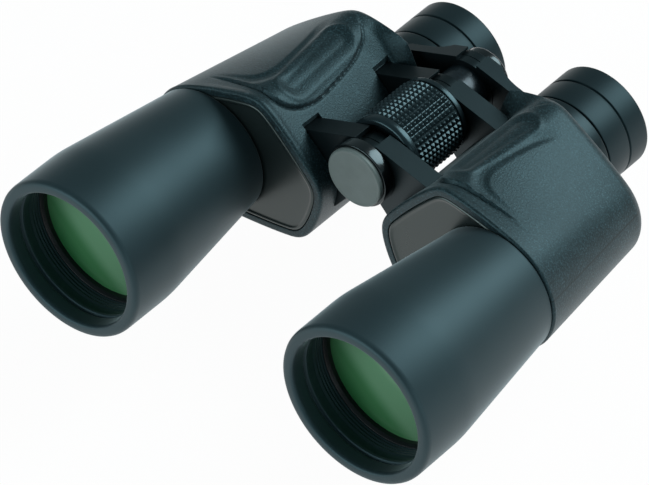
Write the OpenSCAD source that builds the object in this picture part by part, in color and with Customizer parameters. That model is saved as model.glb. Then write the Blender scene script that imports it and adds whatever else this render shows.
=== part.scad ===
// Porro-prism binoculars, 10x50 class, with a folding centre hinge and centre focusing.
// Millimetres. X runs across the pair, Y from the objective rims to the eyecups, Z up.
// Shapes are drawn about the hinge axis (x = 0, z = 0) with the objective rims at y = 0,
// then placed with the origin at the middle of the base.

/* [Optical layout] */
// Distance between the eyepiece axes as stored
eyepiece_spacing = 64; // [62:0.5:66]
// Distance between the objective axes
objective_spacing = 128.6; // [127:0.2:131]
// Drop of the objective axes below the hinge axis
objective_drop = 15.5; // [14:0.25:17]
// Drop of the eyepiece axes below the hinge axis
eyepiece_drop = 21.3; // [20:0.25:22.5]

/* [Objective barrels] */
// Length of a barrel from its rim to the housing seam
barrel_l = 78; // [74:0.5:84]
// Outer radius of the straight front of a barrel
barrel_r = 31.8; // [31:0.1:33]
// Outer radius of a barrel where it meets the housing
barrel_base_r = 24.8; // [24:0.1:25.2]
// Length of the straight front of a barrel
hood_l = 24; // [20:0.5:27]
// Wall of a barrel behind its rim
hood_wall = 3.6; // [3:0.1:4]
// How far the rim reaches inwards past that wall
rim_lip = 1.2; // [0.8:0.1:1.6]
// Width of the ledge round the objective glass
lens_ledge = 1.2; // [1:0.1:1.6]
// Depth of the objective glass behind the rim
objective_depth = 19; // [17:0.5:23]
// Radius of the spigot that holds a barrel in its cover
spigot_r = 20.2; // [19:0.2:20.4]

/* [Prism housings] */
// Length of a housing from the seam to its rear face
housing_l = 62.5; // [60:0.5:66]
// Radius of the housing round the objective axis at the front
shoulder_r = 25.6; // [25.4:0.1:27]
// Radius of the housing round the objective axis at the rear
tail_r = 19.5; // [18.5:0.1:21]
// Thickness of the rubber armour
armour_t = 2.4; // [2:0.1:2.8]
// Wall of the metal housing under the armour
housing_wall = 2; // [1.6:0.1:2.2]
// Thickness of the front and rear cover plates
cover_t = 2.5; // [2:0.1:3]
// Width of the armour's flat front lip round the cover
lip_w = 2.5; // [2:0.1:3]
// Length of the rounding at the armour's rear edge
tail_round = 5; // [4.4:0.1:5.4]

/* [Prisms] */
// Sideways shift of the light in one prism
prism_shift = 23.2; // [23.2:0.1:23.6]
// Half length of a prism's long face
prism_half_l = 19.2; // [18.5:0.1:19.6]
// Half width of a prism
prism_half_w = 8.8; // [8:0.1:9]
// Distance from the seam to the shelf that carries the prisms
shelf_setback = 29; // [28.4:0.1:29.6]
// Thickness of that shelf
shelf_t = 2; // [1.8:0.1:2.6]

/* [Hinge] */
// Distance from the seam to the front arm
arm_setback = 9.5; // [8.5:0.5:12]
// Thickness of the front arms along Y
front_arm_t = 8.5; // [8:0.1:9]
// Thickness of the rear arms along Y
rear_arm_t = 8; // [7.6:0.1:9]
// Height of the arms' top edge above the hinge axis
arm_top = 13.4; // [13:0.1:14]
// Slope of the arms' top edge in degrees
arm_slope = 18; // [16:0.5:19]
// How far the arms reach sideways into the housings
arm_reach = 30; // [28:0.5:31]
// Half of the gap between the left and right arms
arm_gap_half = 4.5; // [4:0.1:5]
// Radius of the front arms' hinge knuckles
knuckle_r = 10.4; // [10:0.1:11]
// Radius of the rear arms' hinge knuckles
rear_knuckle_r = 11.2; // [10.8:0.1:11.6]
// Radius of the round nose in front of the front arms
nose_r = 12.7; // [12.2:0.1:13]
// Length of the nose
nose_l = 5; // [4.6:0.1:7]
// Radius of the grey cap on the nose
cap_r = 11.7; // [11:0.1:12]
// Thickness of the cap's disc
cap_t = 2; // [1.6:0.1:3]

/* [Focusing] */
// Radius of the focus wheel over its knurl
wheel_r = 15.3; // [14.5:0.1:16]
// Gap at each end of the focus wheel
wheel_gap = 0.5; // [0.3:0.1:0.8]
// Length of the focus wheel
wheel_l = 30; // [28:0.5:32]
// Knurl teeth round the focus wheel
knurl_teeth = 42; // [36:6:48]
// Rows of teeth along the focus wheel
knurl_rows = 10; // [8:1:11]
// Depth of the knurl
knurl_depth = 0.8; // [0.5:0.05:1]
// Plain band at the front of the focus wheel
wheel_band = 3.4; // [3:0.1:4.5]
// Radius of the focus stem where it slides in the rear arms
stem_r = 9.5; // [8.8:0.1:9.7]
// Gap between the housings and the eyepiece bridge as stored
bridge_gap = 4; // [3.8:0.1:5]
// Thickness of the bridge at its hub
bridge_t = 7; // [6:0.2:8]
// Thickness of the bridge at the eyepieces
bridge_arm_t = 4; // [3:0.1:4.6]
// Radius of the bridge hub
hub_r = 11.4; // [11:0.1:11.8]

/* [Eyepieces] */
// Radius of the sliding eyepiece barrels
ocular_r = 12; // [11.4:0.1:12.4]
// Outer radius of the eyepiece rings and eyecups
eyecup_r = 20.4; // [20:0.1:21]
// Length of a rubber eyecup
eyecup_l = 21.7; // [20:0.1:23]
// Length of the neck between bridge and ring
neck_l = 4; // [3.6:0.1:5]
// Length of the ring in front of an eyecup
ring_l = 6.8; // [6:0.1:8]
// Gap between that ring and the eyecup
ring_gap = 0.6; // [0.4:0.1:1]
// Radius of the ring's and eyecup's seat
head_r = 15.4; // [14.8:0.1:16]
// Depth of the hollow in an eyecup
eyecup_depth = 9; // [7:0.2:10]
// Radius of the eye lens
eye_lens_r = 11; // [10:0.1:11.5]
// Radius of the field lens
field_lens_r = 9.8; // [9:0.1:10]

/* [Hidden] */
$fn = 96;
run_fit = 0.05;          // radial play of a shaft in its bore
set_fit = 0.02;          // radial play of a piece that is fixed in its bore
seat_fit = 0.15;         // play between fixed pieces of one half
skin_gap = 0.3;          // play between pieces that pass each other
facets = 64;             // points round a housing section
blend = 26;              // how tightly a section hugs its four circles

focus_in = 3.5;          // travel of the bridge towards the objectives
focus_out = 4.5;         // travel of the bridge away from them
diopter_shift = 1;       // travel of the right eyepiece each way

objective_x = objective_spacing / 2;
eyepiece_x = eyepiece_spacing / 2;
seam_y = barrel_l;
rear_y = seam_y + housing_l;
front_arm_y = seam_y + arm_setback;
wheel_y = front_arm_y + front_arm_t + wheel_gap;
rear_arm_y = wheel_y + wheel_l + wheel_gap;
bridge_y = rear_y + bridge_gap;
neck_y = bridge_y + bridge_arm_t;
ring_y = neck_y + neck_l;
eyecup_y = ring_y + ring_l + ring_gap;
overall_l = eyecup_y + eyecup_l;
eye_y = overall_l - eyecup_depth;
base_z = -objective_drop - barrel_r;
nose_y = front_arm_y - nose_l;
web_z = -eyepiece_drop - 3;
skin = armour_t + seat_fit;
hood_bore_r = barrel_r - hood_wall;
rim_bore_r = hood_bore_r - rim_lip;
objective_r = hood_bore_r - lens_ledge;
shelf_y = seam_y + shelf_setback;

axle_head_r = 6;         // front of the axle, in the front arms
axle_r = 4;              // rest of the axle, inside wheel and stem
tripod_r = 3.175;        // quarter-inch tripod thread, major radius
tripod_l = 9;
pin_r = 6.5;             // threaded front of the focus stem
hub_pin_r = 7;           // journal that the bridge arms sit on

// ---- placing -------------------------------------------------------------------

module place() { translate([0, -overall_l / 2, -base_z]) children(); }

// Right-hand pieces are drawn at +X; the left half mirrors them.
module left() { mirror([1, 0, 0]) children(); }

// Turns a shape drawn along +Z so that it runs along +Y from y at (x, z).
module along_y(x, z, y) { translate([x, y, z]) rotate([-90, 0, 0]) children(); }

module at_objective(y) { along_y(objective_x, -objective_drop, y) children(); }
module at_eyepiece(y) { along_y(eyepiece_x, -eyepiece_drop, y) children(); }
module at_hinge(y) { along_y(0, 0, y) children(); }

// A flat shape in X and Z, drawn from y to y + t
module slab(y, t) { translate([0, y + t, 0]) rotate([90, 0, 0]) linear_extrude(t) children(); }

module tube(r_out, r_in, l) {
    rotate_extrude() translate([r_in, 0]) square([r_out - r_in, l]);
}

// ---- section of a housing --------------------------------------------------------

// How far down the housing y lies: 0 at the seam, 1 at the rear face
function down(y) = (y - seam_y) / housing_l;

// The four circles [x, z, r] that a section is stretched round
function section_circles(y) = [
    [objective_x - 1.4 * down(y), -objective_drop - 2.9 * down(y),
     shoulder_r + (tail_r - shoulder_r) * down(y)],
    [eyepiece_x - 6.5, 6.8 - eyepiece_drop, 12],
    [eyepiece_x - 2, -6.2 - eyepiece_drop, 11.5],
    [(objective_x + eyepiece_x) / 2 - 4.65, 5 + 1.2 * pow(down(y), 3), 12]
];

// A fifth circle rises out of the armour behind the rear arm and gives its rear end a
// corner over the hinge.
function corner_circle(y) =
    let (k = max(0, min(1, (y - rear_y + tail_round) / (tail_round - 0.5))))
    [eyepiece_x - 3.2 - 4 * k, arm_top - 13.2 + 11 * k, 3];

// Middle of the section, from which every direction is measured
section_mid = [(objective_x + eyepiece_x) / 2 - 2, -(objective_drop + eyepiece_drop) / 2 + 6];

function sum(v, i = 0) = i < len(v) ? v[i] + sum(v, i + 1) : 0;
function reach(c, a, inset) =
    (c[0] - section_mid[0]) * cos(a) + (c[1] - section_mid[1]) * sin(a) + c[2] - inset;

// Point of the section's edge whose normal looks along a. The circle that reaches
// furthest that way wins, and the change from one circle to the next is soft.
function edge_point(circles, a, inset) =
    let (far = [for (c = circles) max(0, reach(c, a, inset))],
         size = pow(sum([for (f = far) pow(f, blend)]), 1 / blend),
         w = [for (f = far) pow(f / size, blend - 1)])
    [for (k = [0, 1])
        section_mid[k] + sum([for (i = [0:len(circles) - 1])
            w[i] * (circles[i][k] - section_mid[k]
                    + (circles[i][2] - inset) * (k == 0 ? cos(a) : sin(a)))])];

function outline(circles, inset, more) =
    [for (i = [0:facets - 1]) let (a = 360 * i / facets)
        edge_point(circles, a, inset + more * (1 + cos(a)) / 2)];

function section(y, inset, more = 0) = outline(section_circles(y), inset, more);

// The same section as a ring of points in space. The inset grows by more towards +X.
function ring(y, inset, more = 0) = ring_at(y, section(y, inset, more));
function ring_at(y, points) = [for (p = points) [p[0], y, p[1]]];

// Ring of the armour's outside at the rear, with the corner
function rear_ring(y, inset, more) =
    ring_at(y, outline(concat(section_circles(y), [corner_circle(y)]), inset, more));

// Triangles between each ring of a stack and the next one
function ring_faces(n, m, closed) = [
    for (i = [0:(closed ? m - 1 : m - 2)], j = [0:n - 1])
        let (a = i * n + j, b = i * n + (j + 1) % n, k = (i + 1) % m,
             c = k * n + (j + 1) % n, d = k * n + j)
        each [[a, b, c], [a, c, d]]];

// A closed band of rings, each joined to the next and the last to the first
module ring_band(rings) {
    polyhedron(points = [for (r = rings) each r], faces = ring_faces(facets, len(rings), true));
}

// A solid loft of rings with a flat end at the first and the last
module ring_loft(rings) {
    n = facets;
    m = len(rings);
    polyhedron(
        points = [for (r = rings) each r],
        faces = concat([[for (j = [n - 1:-1:0]) j]], [[for (j = [0:n - 1]) (m - 1) * n + j]],
                       ring_faces(n, m, false)));
}

// ---- hinge arms ------------------------------------------------------------------

arm_drop = tan(arm_slope);

// Side view of an arm with its web, from the hinge to inside the housing
module arm_face(gap = 0) {
    polygon([
        [arm_gap_half - gap, arm_top - arm_drop * arm_gap_half + gap],
        [arm_reach + gap, arm_top - arm_drop * arm_reach + gap],
        [arm_reach + gap, web_z - gap],
        [eyepiece_x - 17, web_z - gap],
        [arm_gap_half - gap, -12 - gap]
    ]);
}

// One arm of the right half: full thickness beyond the knuckle, and a knuckle half as
// thick, at the front of the arm for side 0 and at its rear for side 1.
module hinge_arm(y, t, r, side, bore) {
    half = (t - skin_gap) / 2;
    own = side == 0 ? y : y + t - half;
    difference() {
        union() {
            difference() {
                slab(y, t) arm_face();
                at_hinge(y - 1) cylinder(r = r + skin_gap, h = t + 2);
            }
            at_hinge(own) cylinder(r = r, h = half);
            intersection() {
                slab(own, half) arm_face();
                at_hinge(own) cylinder(r = r + 1, h = half);
            }
        }
        at_hinge(y - 1) cylinder(r = bore, h = t + 2);
    }
}

// Room that an arm needs in the armour, open at the top
module arm_notch(y, t) {
    slab(y - skin_gap, t + 2 * skin_gap) {
        arm_face(skin_gap);
        translate([0, arm_top - arm_drop * arm_reach]) square([arm_reach + 1.4, 40]);
    }
}

// ---- pieces of one half ----------------------------------------------------------

collar_l = 9;            // length of the eyepiece barrel's guide inside a housing

housing_front = seam_y + cover_t;
housing_back = rear_y - cover_t;

// Outer rings of the housing's shell
function shell_rings(inset) = [
    ring(housing_front, inset), ring(rear_y - tail_round, inset), ring(housing_back, inset + 1, 3)];

module prism_housing() {
    inner = skin + housing_wall;
    guide_y = housing_back - collar_l;
    color("dimgray") difference() {
        union() {
            ring_band(concat(shell_rings(skin), [
                ring(housing_back, inner + 1, 3), ring(rear_y - tail_round - 1.5, inner),
                ring(housing_front, inner)]));
            // guide of the eyepiece barrel
            intersection() {
                at_eyepiece(guide_y) tube(ocular_r + 2, ocular_r - 1, collar_l);
                slab(guide_y, collar_l) polygon(section(housing_back, skin + 1.2, 3));
            }
        }
        at_eyepiece(guide_y - 1) cylinder(r = ocular_r + run_fit, h = collar_l + 2);
        // room for the barrel in front of its guide when it is focused inwards
        at_eyepiece(guide_y - focus_in - diopter_shift - 1)
            cylinder(r = ocular_r + skin_gap, h = focus_in + diopter_shift + 1);
    }
}

// The arms stand on the shell, so they are cut back to its outside.
module front_hinge_arm(side) {
    color("dimgray") difference() {
        hinge_arm(front_arm_y, front_arm_t, knuckle_r, side, axle_head_r + run_fit);
        ring_loft(shell_rings(skin - set_fit));
    }
}

module rear_hinge_arm(side) {
    color("dimgray") difference() {
        hinge_arm(rear_arm_y, rear_arm_t, rear_knuckle_r, side, stem_r + run_fit);
        ring_loft(shell_rings(skin - set_fit));
    }
}

module armour() {
    color("darkslategray") difference() {
        ring_band([
            ring(seam_y + cover_t - 0.1, armour_t),
            ring_at(seam_y + cover_t - 0.1, section(seam_y, 0.7 + lip_w)),
            ring(seam_y, 0.7 + lip_w),
            ring(seam_y, 0.7),
            ring(seam_y + 0.3, 0.2),
            ring(seam_y + 1, 0),
            rear_ring(rear_y - tail_round, 0, 0),
            rear_ring(rear_y - tail_round / 2, 0.1, 0.3),
            rear_ring(rear_y - tail_round / 4, 0.4, 0.9),
            rear_ring(rear_y - tail_round / 12, 0.9, 1.6),
            rear_ring(rear_y, 1.5, 2.2),
            ring(rear_y, 4.6, 3.2),
            ring(rear_y - cover_t + 0.1, 4.6, 3.2),
            ring(rear_y - cover_t + 0.1, armour_t + 1, 3),
            ring(rear_y - tail_round, armour_t)
        ]);
        arm_notch(front_arm_y, front_arm_t);
        arm_notch(rear_arm_y, rear_arm_t);
        at_eyepiece(rear_y - cover_t - 0.5) cylinder(r = ocular_r + skin_gap, h = 4);
    }
}

module front_cover() {
    color("gray") difference() {
        slab(seam_y, cover_t) polygon(section(seam_y, 0.7 + lip_w + seat_fit));
        at_objective(seam_y - 1) cylinder(r = spigot_r + set_fit, h = cover_t + 2);
    }
}

module rear_cover() {
    color("gray") difference() {
        slab(rear_y - cover_t, cover_t) polygon(section(rear_y, 4.6 + seat_fit, 3.2));
        at_eyepiece(rear_y - cover_t - 1) cylinder(r = ocular_r + skin_gap, h = cover_t + 2);
        // the sliver left between that hole and the plate's lower corner
        slab(rear_y - cover_t - 1, cover_t + 2) translate([eyepiece_x, -eyepiece_drop])
            polygon([[-1, -1], [-2 * eyepiece_x, 4], [-2 * eyepiece_x, -2 * eyepiece_x],
                     [6, -2 * eyepiece_x]]);
    }
}

module objective_barrel() {
    rim = 2.4;
    rear = seam_y + cover_t + 1.5;
    cell = objective_r + set_fit;
    color("darkslategray") at_objective(0) rotate_extrude() polygon(concat(
        // rim, rounded from the opening outwards
        [[rim_bore_r, 1.2], [rim_bore_r + 0.4, 0.4], [rim_bore_r + 1.2, 0]],
        [for (a = [75:-15:0]) [barrel_r - rim + rim * cos(a), rim - rim * sin(a)]],
        [[barrel_r, hood_l - 3]],
        [for (i = [1:5]) [barrel_r - 0.02 * i * i, hood_l - 3 + 6 * i / 5]],
        [[barrel_base_r, seam_y], [spigot_r, seam_y], [spigot_r, seam_y + cover_t],
         [spigot_r - 0.5, rear], [spigot_r - 2, rear], [spigot_r - 2, seam_y - 4],
         [hood_bore_r - 5, objective_depth + 16], [objective_r - 1.2, objective_depth + 12],
         [objective_r - 1.2, objective_depth + 9.5],
         [cell, objective_depth + 9.5], [cell, objective_depth + 1],
         [hood_bore_r, objective_depth], [hood_bore_r, 9.4], [hood_bore_r - 0.9, 9],
         [hood_bore_r - 0.9, 8.2], [hood_bore_r, 7.8], [hood_bore_r, 6.6], [rim_bore_r, 6.2]]));
}

// Cemented pair: the crown bulges both ways and the flint takes its rear curve
crown_y = objective_depth + 3;
crown_front = 3;
crown_edge = 2;
crown_back = 2.6;

// Height of a lens face above its edge at steps from the middle outwards
function face_curve(r, d) = [for (i = [0:8]) [r * i / 8, d * (1 - pow(i / 8, 2))]];
function reversed(v) = [for (i = [len(v) - 1:-1:0]) v[i]];

module crown_lens() {
    color("seagreen") at_objective(crown_y) rotate_extrude() polygon(concat(
        [for (p = face_curve(objective_r, crown_front)) [p[0], -p[1]]],
        [for (p = reversed(face_curve(objective_r, crown_back))) [p[0], p[1] + crown_edge]]));
}

module flint_lens() {
    color("mediumseagreen") at_objective(crown_y + crown_edge) rotate_extrude() polygon(concat(
        [for (p = face_curve(objective_r, crown_back)) [p[0], p[1] + set_fit]],
        [[objective_r, 4.4], [0, 4.4]]));
}

module lens_ring() {
    lip = 0.7;
    seat = crown_y - (objective_depth - 1.4) - set_fit;
    bulge = crown_front * (1 - pow(1 - lip / objective_r, 2));
    color("black") at_objective(objective_depth - 1.4) rotate_extrude() polygon([
        [hood_bore_r - seat_fit, 0], [hood_bore_r - seat_fit, 1.2], [objective_r - 0.1, 2.3],
        [objective_r - 0.1, seat - 0.1], [objective_r - lip, seat - bulge],
        [objective_r - lip, seat - bulge - 0.6], [objective_r + 0.4, 0]]);
}

// The light steps from the objective axis to the knee, and from there to the eyepiece axis
axis_span = norm([objective_x - eyepiece_x, eyepiece_drop - objective_drop]);
axis_turn = atan2(eyepiece_drop - objective_drop, objective_x - eyepiece_x);
knee_turn = 180 + axis_turn - acos(min(1, axis_span / 2 / prism_shift));
knee = [objective_x + prism_shift * cos(knee_turn), -objective_drop + prism_shift * sin(knee_turn)];
objective_axis = [objective_x, -objective_drop];
eyepiece_axis = [eyepiece_x, -eyepiece_drop];

// Right-angle prism standing on its long face, with its corners ground away
module prism() {
    l = prism_half_l;
    intersection() {
        rotate([90, 0, 0]) translate([0, 0, -prism_half_w]) linear_extrude(2 * prism_half_w)
            polygon([[-l, 0], [l, 0], [l, 1.5], [1.5, l], [-1.5, l], [-l, 1.5]]);
        translate([0, 0, -1]) cylinder(r = l + 0.4, h = l + 2);
    }
}

// Frame halfway between two axes with +X along them, standing up to the rear or the front
module between(a, b, y, front = false) {
    translate([(a[0] + b[0]) / 2, y, (a[1] + b[1]) / 2])
        rotate([0, -atan2(b[1] - a[1], b[0] - a[0]), 0])
            rotate([front ? 90 : -90, 0, 0]) children();
}

module rear_prism() {
    color("lightcyan") between(objective_axis, knee, shelf_y + shelf_t) prism();
}

module front_prism() {
    color("lightcyan") between(eyepiece_axis, knee, shelf_y, true) prism();
}

module prism_shelf() {
    color("silver") difference() {
        slab(shelf_y, shelf_t) polygon(section(shelf_y, skin + housing_wall + 0.35));
        for (c = [objective_axis, eyepiece_axis, knee])
            along_y(c[0], c[1], shelf_y - 1) cylinder(r = prism_half_w - 1.5, h = shelf_t + 2);
        // slots that the spring straps hook into
        for (s = [-1, 1]) {
            between(objective_axis, knee, shelf_y - 1) strap_slot(s);
            between(eyepiece_axis, knee, shelf_y - 1) strap_slot(s);
        }
    }
}

module strap_slot(s) {
    translate([-2.6, s * (prism_half_w + 0.9) - 0.7, 0]) cube([5.2, 1.4, shelf_t + 2]);
}

// Spring strap over a prism's apex, its feet in the shelf
module strap() {
    t = 0.5;
    w = prism_half_w + 0.65;
    h = prism_half_l + 0.15;
    rotate([90, 0, 90]) translate([0, 0, -2.3]) linear_extrude(4.6) polygon([
        [-w - t, -0.8], [-w, -0.8], [-w, h], [w, h], [w, -0.8], [w + t, -0.8],
        [w + t, h + t], [-w - t, h + t]]);
}

module prism_straps() {
    color("goldenrod") {
        between(objective_axis, knee, shelf_y + shelf_t) strap();
        between(eyepiece_axis, knee, shelf_y, true) strap();
    }
}

// ---- hinge and focusing ------------------------------------------------------------

module hinge_axle() {
    head_l = nose_l + front_arm_t - 1.4;
    color("silver") at_hinge(nose_y + 1.4) difference() {
        union() {
            cylinder(r = axle_head_r, h = head_l);
            translate([0, 0, head_l - 0.5]) cylinder(r = axle_r, h = bridge_y - nose_y - head_l);
        }
        translate([0, 0, -1]) cylinder(r = tripod_r, h = tripod_l + 1);
    }
}

collar_r = 8.6;          // push-fit collar of the front cap

module hinge_nose() {
    color("black") at_hinge(nose_y) rotate_extrude() polygon([
        [collar_r + run_fit, 0], [nose_r - 0.6, 0], [nose_r, 0.6], [nose_r, nose_l - skin_gap],
        [axle_head_r + set_fit, nose_l - skin_gap], [axle_head_r + set_fit, 1.4],
        [collar_r + run_fit, 1.4]]);
}

module front_cap() {
    color("darkgray") at_hinge(nose_y - cap_t) rotate_extrude() polygon([
        [0, 0], [cap_r - 0.3, 0], [cap_r, 0.3], [cap_r, cap_t], [collar_r, cap_t],
        [collar_r, cap_t + 1.2], [collar_r - 1.6, cap_t + 1.2], [collar_r - 1.6, 1.2], [0, 1.2]]);
}

// Section of the knurl across the wheel: one triangle per tooth
module knurl_star() {
    root = wheel_r - knurl_depth;
    polygon([for (i = [0:knurl_teeth - 1], k = [0, 1])
        let (a = 360 * (i + k / 2) / knurl_teeth, r = k == 0 ? root : wheel_r + 0.35)
        [r * cos(a), r * sin(a)]]);
}

module focus_wheel() {
    body_r = wheel_r - 0.25;
    knurl_l = wheel_l - wheel_band - 2.6;
    pitch = knurl_l / knurl_rows;
    root = wheel_r - knurl_depth;
    knurl_end = wheel_band + knurl_l;
    well = wheel_l - focus_in - 1;
    color("black") at_hinge(wheel_y) difference() {
        union() {
            rotate_extrude() polygon([
                [0, 0], [body_r - 1.6, 0], [body_r - 0.5, 0.5], [body_r, 1.6], [body_r, wheel_band],
                [root - 0.3, wheel_band], [root - 0.3, knurl_end + 0.6],
                [body_r - 0.3, knurl_end + 0.8], [body_r - 0.3, wheel_l - 0.8],
                [body_r - 1.1, wheel_l], [0, wheel_l]]);
            intersection() {
                translate([0, 0, wheel_band - 0.1]) linear_extrude(knurl_l + 0.1) knurl_star();
                rotate_extrude() polygon(concat(
                    [[root - 1, wheel_band - 0.1]],
                    [for (i = [0:knurl_rows - 1], k = [0, 1])
                        [k == 0 ? root - 0.15 : wheel_r, wheel_band + (i + k / 2) * pitch]],
                    [[root - 0.15, knurl_end], [root - 1, knurl_end]]));
            }
        }
        translate([0, 0, -1]) cylinder(r = axle_r + run_fit, h = wheel_l + 2);
        // dished front face, thread for the stem, and room for the stem's thick part
        translate([0, 0, -1]) cylinder(r = body_r - 2.6, h = 3);
        translate([0, 0, 8]) cylinder(r = pin_r + run_fit, h = wheel_l);
        translate([0, 0, well]) cylinder(r = stem_r + skin_gap, h = wheel_l);
    }
}

module focus_stem() {
    pin_y = wheel_y + 8 + focus_in + 0.5;
    thick_y = rear_arm_y - wheel_gap;
    color("black") at_hinge(0) difference() {
        union() {
            translate([0, 0, pin_y]) cylinder(r = pin_r, h = bridge_y - pin_y);
            translate([0, 0, thick_y]) cylinder(r = stem_r, h = bridge_y - thick_y);
            translate([0, 0, bridge_y - 1]) cylinder(r = hub_pin_r, h = bridge_t + 3);
        }
        translate([0, 0, pin_y - 1]) cylinder(r = axle_r + run_fit, h = bridge_y + 6 - pin_y);
    }
}

// Side view of a bridge arm, hub to eyepiece, with its sloped top edge
module bridge_face() {
    polygon([
        [arm_gap_half, arm_top - arm_drop * arm_gap_half],
        [eyepiece_x - 3, arm_top - arm_drop * (eyepiece_x - 3)],
        [eyepiece_x, -eyepiece_drop + ocular_r],
        [eyepiece_x, -eyepiece_drop],
        [eyepiece_x - 14, -eyepiece_drop + 1],
        [arm_gap_half, -9]
    ]);
}

module bridge_arm(side, hub_bore, eye_bore) {
    half = (bridge_t - skin_gap) / 2;
    own = side == 0 ? bridge_y : bridge_y + bridge_t - half;
    end = bridge_y + bridge_t;
    thin = bridge_y + bridge_arm_t;
    difference() {
        union() {
            at_eyepiece(bridge_y) cylinder(r = eyecup_r - 1.4, h = bridge_arm_t);
            // thin at the eyepiece, flaring towards the hub
            difference() {
                intersection() {
                    slab(bridge_y, bridge_t) bridge_face();
                    translate([0, 0, -2 * eyepiece_x]) linear_extrude(4 * eyepiece_x) polygon([
                        [0, bridge_y], [2 * eyepiece_x, bridge_y], [2 * eyepiece_x, thin],
                        [hub_r + 7.6, thin], [hub_r + 5.1, thin + 0.3], [hub_r + 2.6, thin + 0.9],
                        [hub_r + 0.6, end - 1], [hub_r - 0.4, end], [0, end]]);
                }
                at_hinge(bridge_y - 1) cylinder(r = hub_r + skin_gap, h = bridge_t + 2);
            }
            at_hinge(own) cylinder(r = hub_r, h = half);
            intersection() {
                slab(own, half) bridge_face();
                at_hinge(own) cylinder(r = hub_r + 1, h = half);
            }
        }
        at_hinge(bridge_y - 1) cylinder(r = hub_bore, h = bridge_t + 2);
        at_eyepiece(bridge_y - 1) cylinder(r = eye_bore, h = bridge_t + 2);
        at_eyepiece(thin) cylinder(r = eyecup_r + skin_gap, h = bridge_t);
    }
}

module bridge_end_cap() {
    color("black") at_hinge(bridge_y + bridge_t + 0.1) rotate_extrude() polygon([
        [0, 2.2], [hub_pin_r + set_fit, 2.2], [hub_pin_r + set_fit, 0], [10.2, 0],
        [10.2, 3.4], [9.6, 4.4], [8.4, 4.8], [0, 4.8]]);
}

// ---- eyepieces ---------------------------------------------------------------------

// Barrel that carries the lenses and the eyecup. room is its distance to the bridge.
module eyepiece_barrel(room) {
    front = rear_y - cover_t - collar_l + 1;
    wall = 1.4;
    color("black") at_eyepiece(0) rotate_extrude() polygon([
        [ocular_r - wall, front], [ocular_r, front], [ocular_r, neck_y + room],
        [eyecup_r - 2.8, neck_y + room], [eyecup_r - 2.8, ring_y - skin_gap],
        [head_r, ring_y - skin_gap], [head_r, eye_y - 1], [head_r - 1, eye_y],
        [eye_lens_r + 1.6, eye_y], [eye_lens_r + 1.6, eye_y - 1.8], [eye_lens_r + set_fit, eye_y - 1.8],
        [eye_lens_r + set_fit, eye_y - 8], [eye_lens_r - 1.2, eye_y - 8],
        [eye_lens_r - 1.2, eye_y - 10], [ocular_r - wall, eye_y - 14],
        [ocular_r - wall, front + 10.4], [field_lens_r - 1, front + 9.4],
        [field_lens_r - 1, front + 8], [field_lens_r + set_fit, front + 8],
        [field_lens_r + set_fit, front + 1], [ocular_r - wall, front + 1]]);
}

module eye_lens() {
    color("lightblue") at_eyepiece(eye_y - 7.9) rotate_extrude() polygon(concat(
        [[0, 0], [eye_lens_r, 0]],
        [for (p = reversed(face_curve(eye_lens_r, 1.6))) [p[0], p[1] + 5]]));
}

module field_lens() {
    front = rear_y - cover_t - collar_l + 1;
    color("lightblue") at_eyepiece(front + 7.9) rotate_extrude() polygon(concat(
        [for (p = face_curve(field_lens_r, 1.8)) [p[0], -p[1] - 4]],
        [[field_lens_r, 0], [0, 0]]));
}

// Ring that holds the eye lens in its barrel
module bezel() {
    color("dimgray") at_eyepiece(eye_y - 1.7) rotate_extrude() polygon([
        [eye_lens_r - 1, 0], [eye_lens_r + 1.5, 0], [eye_lens_r + 1.5, 2], [eye_lens_r + 0.6, 2.2],
        [eye_lens_r - 1, 0.8]]);
}

// Plain ring of the left eyepiece and turning ring of the right one
module eyepiece_ring(bore) {
    color("darkslategray") at_eyepiece(ring_y) rotate_extrude() polygon([
        [bore, 0], [eyecup_r - 0.4, 0], [eyecup_r, 0.4], [eyecup_r, ring_l - 0.4],
        [eyecup_r - 0.4, ring_l], [bore, ring_l]]);
}

module eyecup(bore) {
    groove = 10.8;
    color("black") at_eyepiece(eyecup_y) rotate_extrude() polygon([
        [bore, 0], [eyecup_r - 0.4, 0], [eyecup_r, 0.4], [eyecup_r, groove], [eyecup_r - 0.6, groove + 0.3],
        [eyecup_r - 0.6, groove + 0.7], [eyecup_r, groove + 1], [eyecup_r, eyecup_l - 1.2],
        [eyecup_r - 0.3, eyecup_l - 0.3], [eyecup_r - 1, eyecup_l], [eyecup_r - 4.2, eyecup_l],
        [eyecup_r - 5, eyecup_l - 0.8], [bore - 0.2, eyecup_l - 3], [bore, eyecup_l - 5]]);
}

// ---- every piece in its place --------------------------------------------------------

module right_prism_housing() { place() prism_housing(); }
module right_front_hinge_arm() { place() front_hinge_arm(1); }
module right_rear_hinge_arm() { place() rear_hinge_arm(1); }
module right_armour() { place() armour(); }
module right_front_cover() { place() front_cover(); }
module right_rear_cover() { place() rear_cover(); }
module right_objective_barrel() { place() objective_barrel(); }
module right_crown_lens() { place() crown_lens(); }
module right_flint_lens() { place() flint_lens(); }
module right_lens_ring() { place() lens_ring(); }
module right_prism_shelf() { place() prism_shelf(); }
module right_rear_prism() { place() rear_prism(); }
module right_front_prism() { place() front_prism(); }
module right_prism_straps() { place() prism_straps(); }

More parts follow.
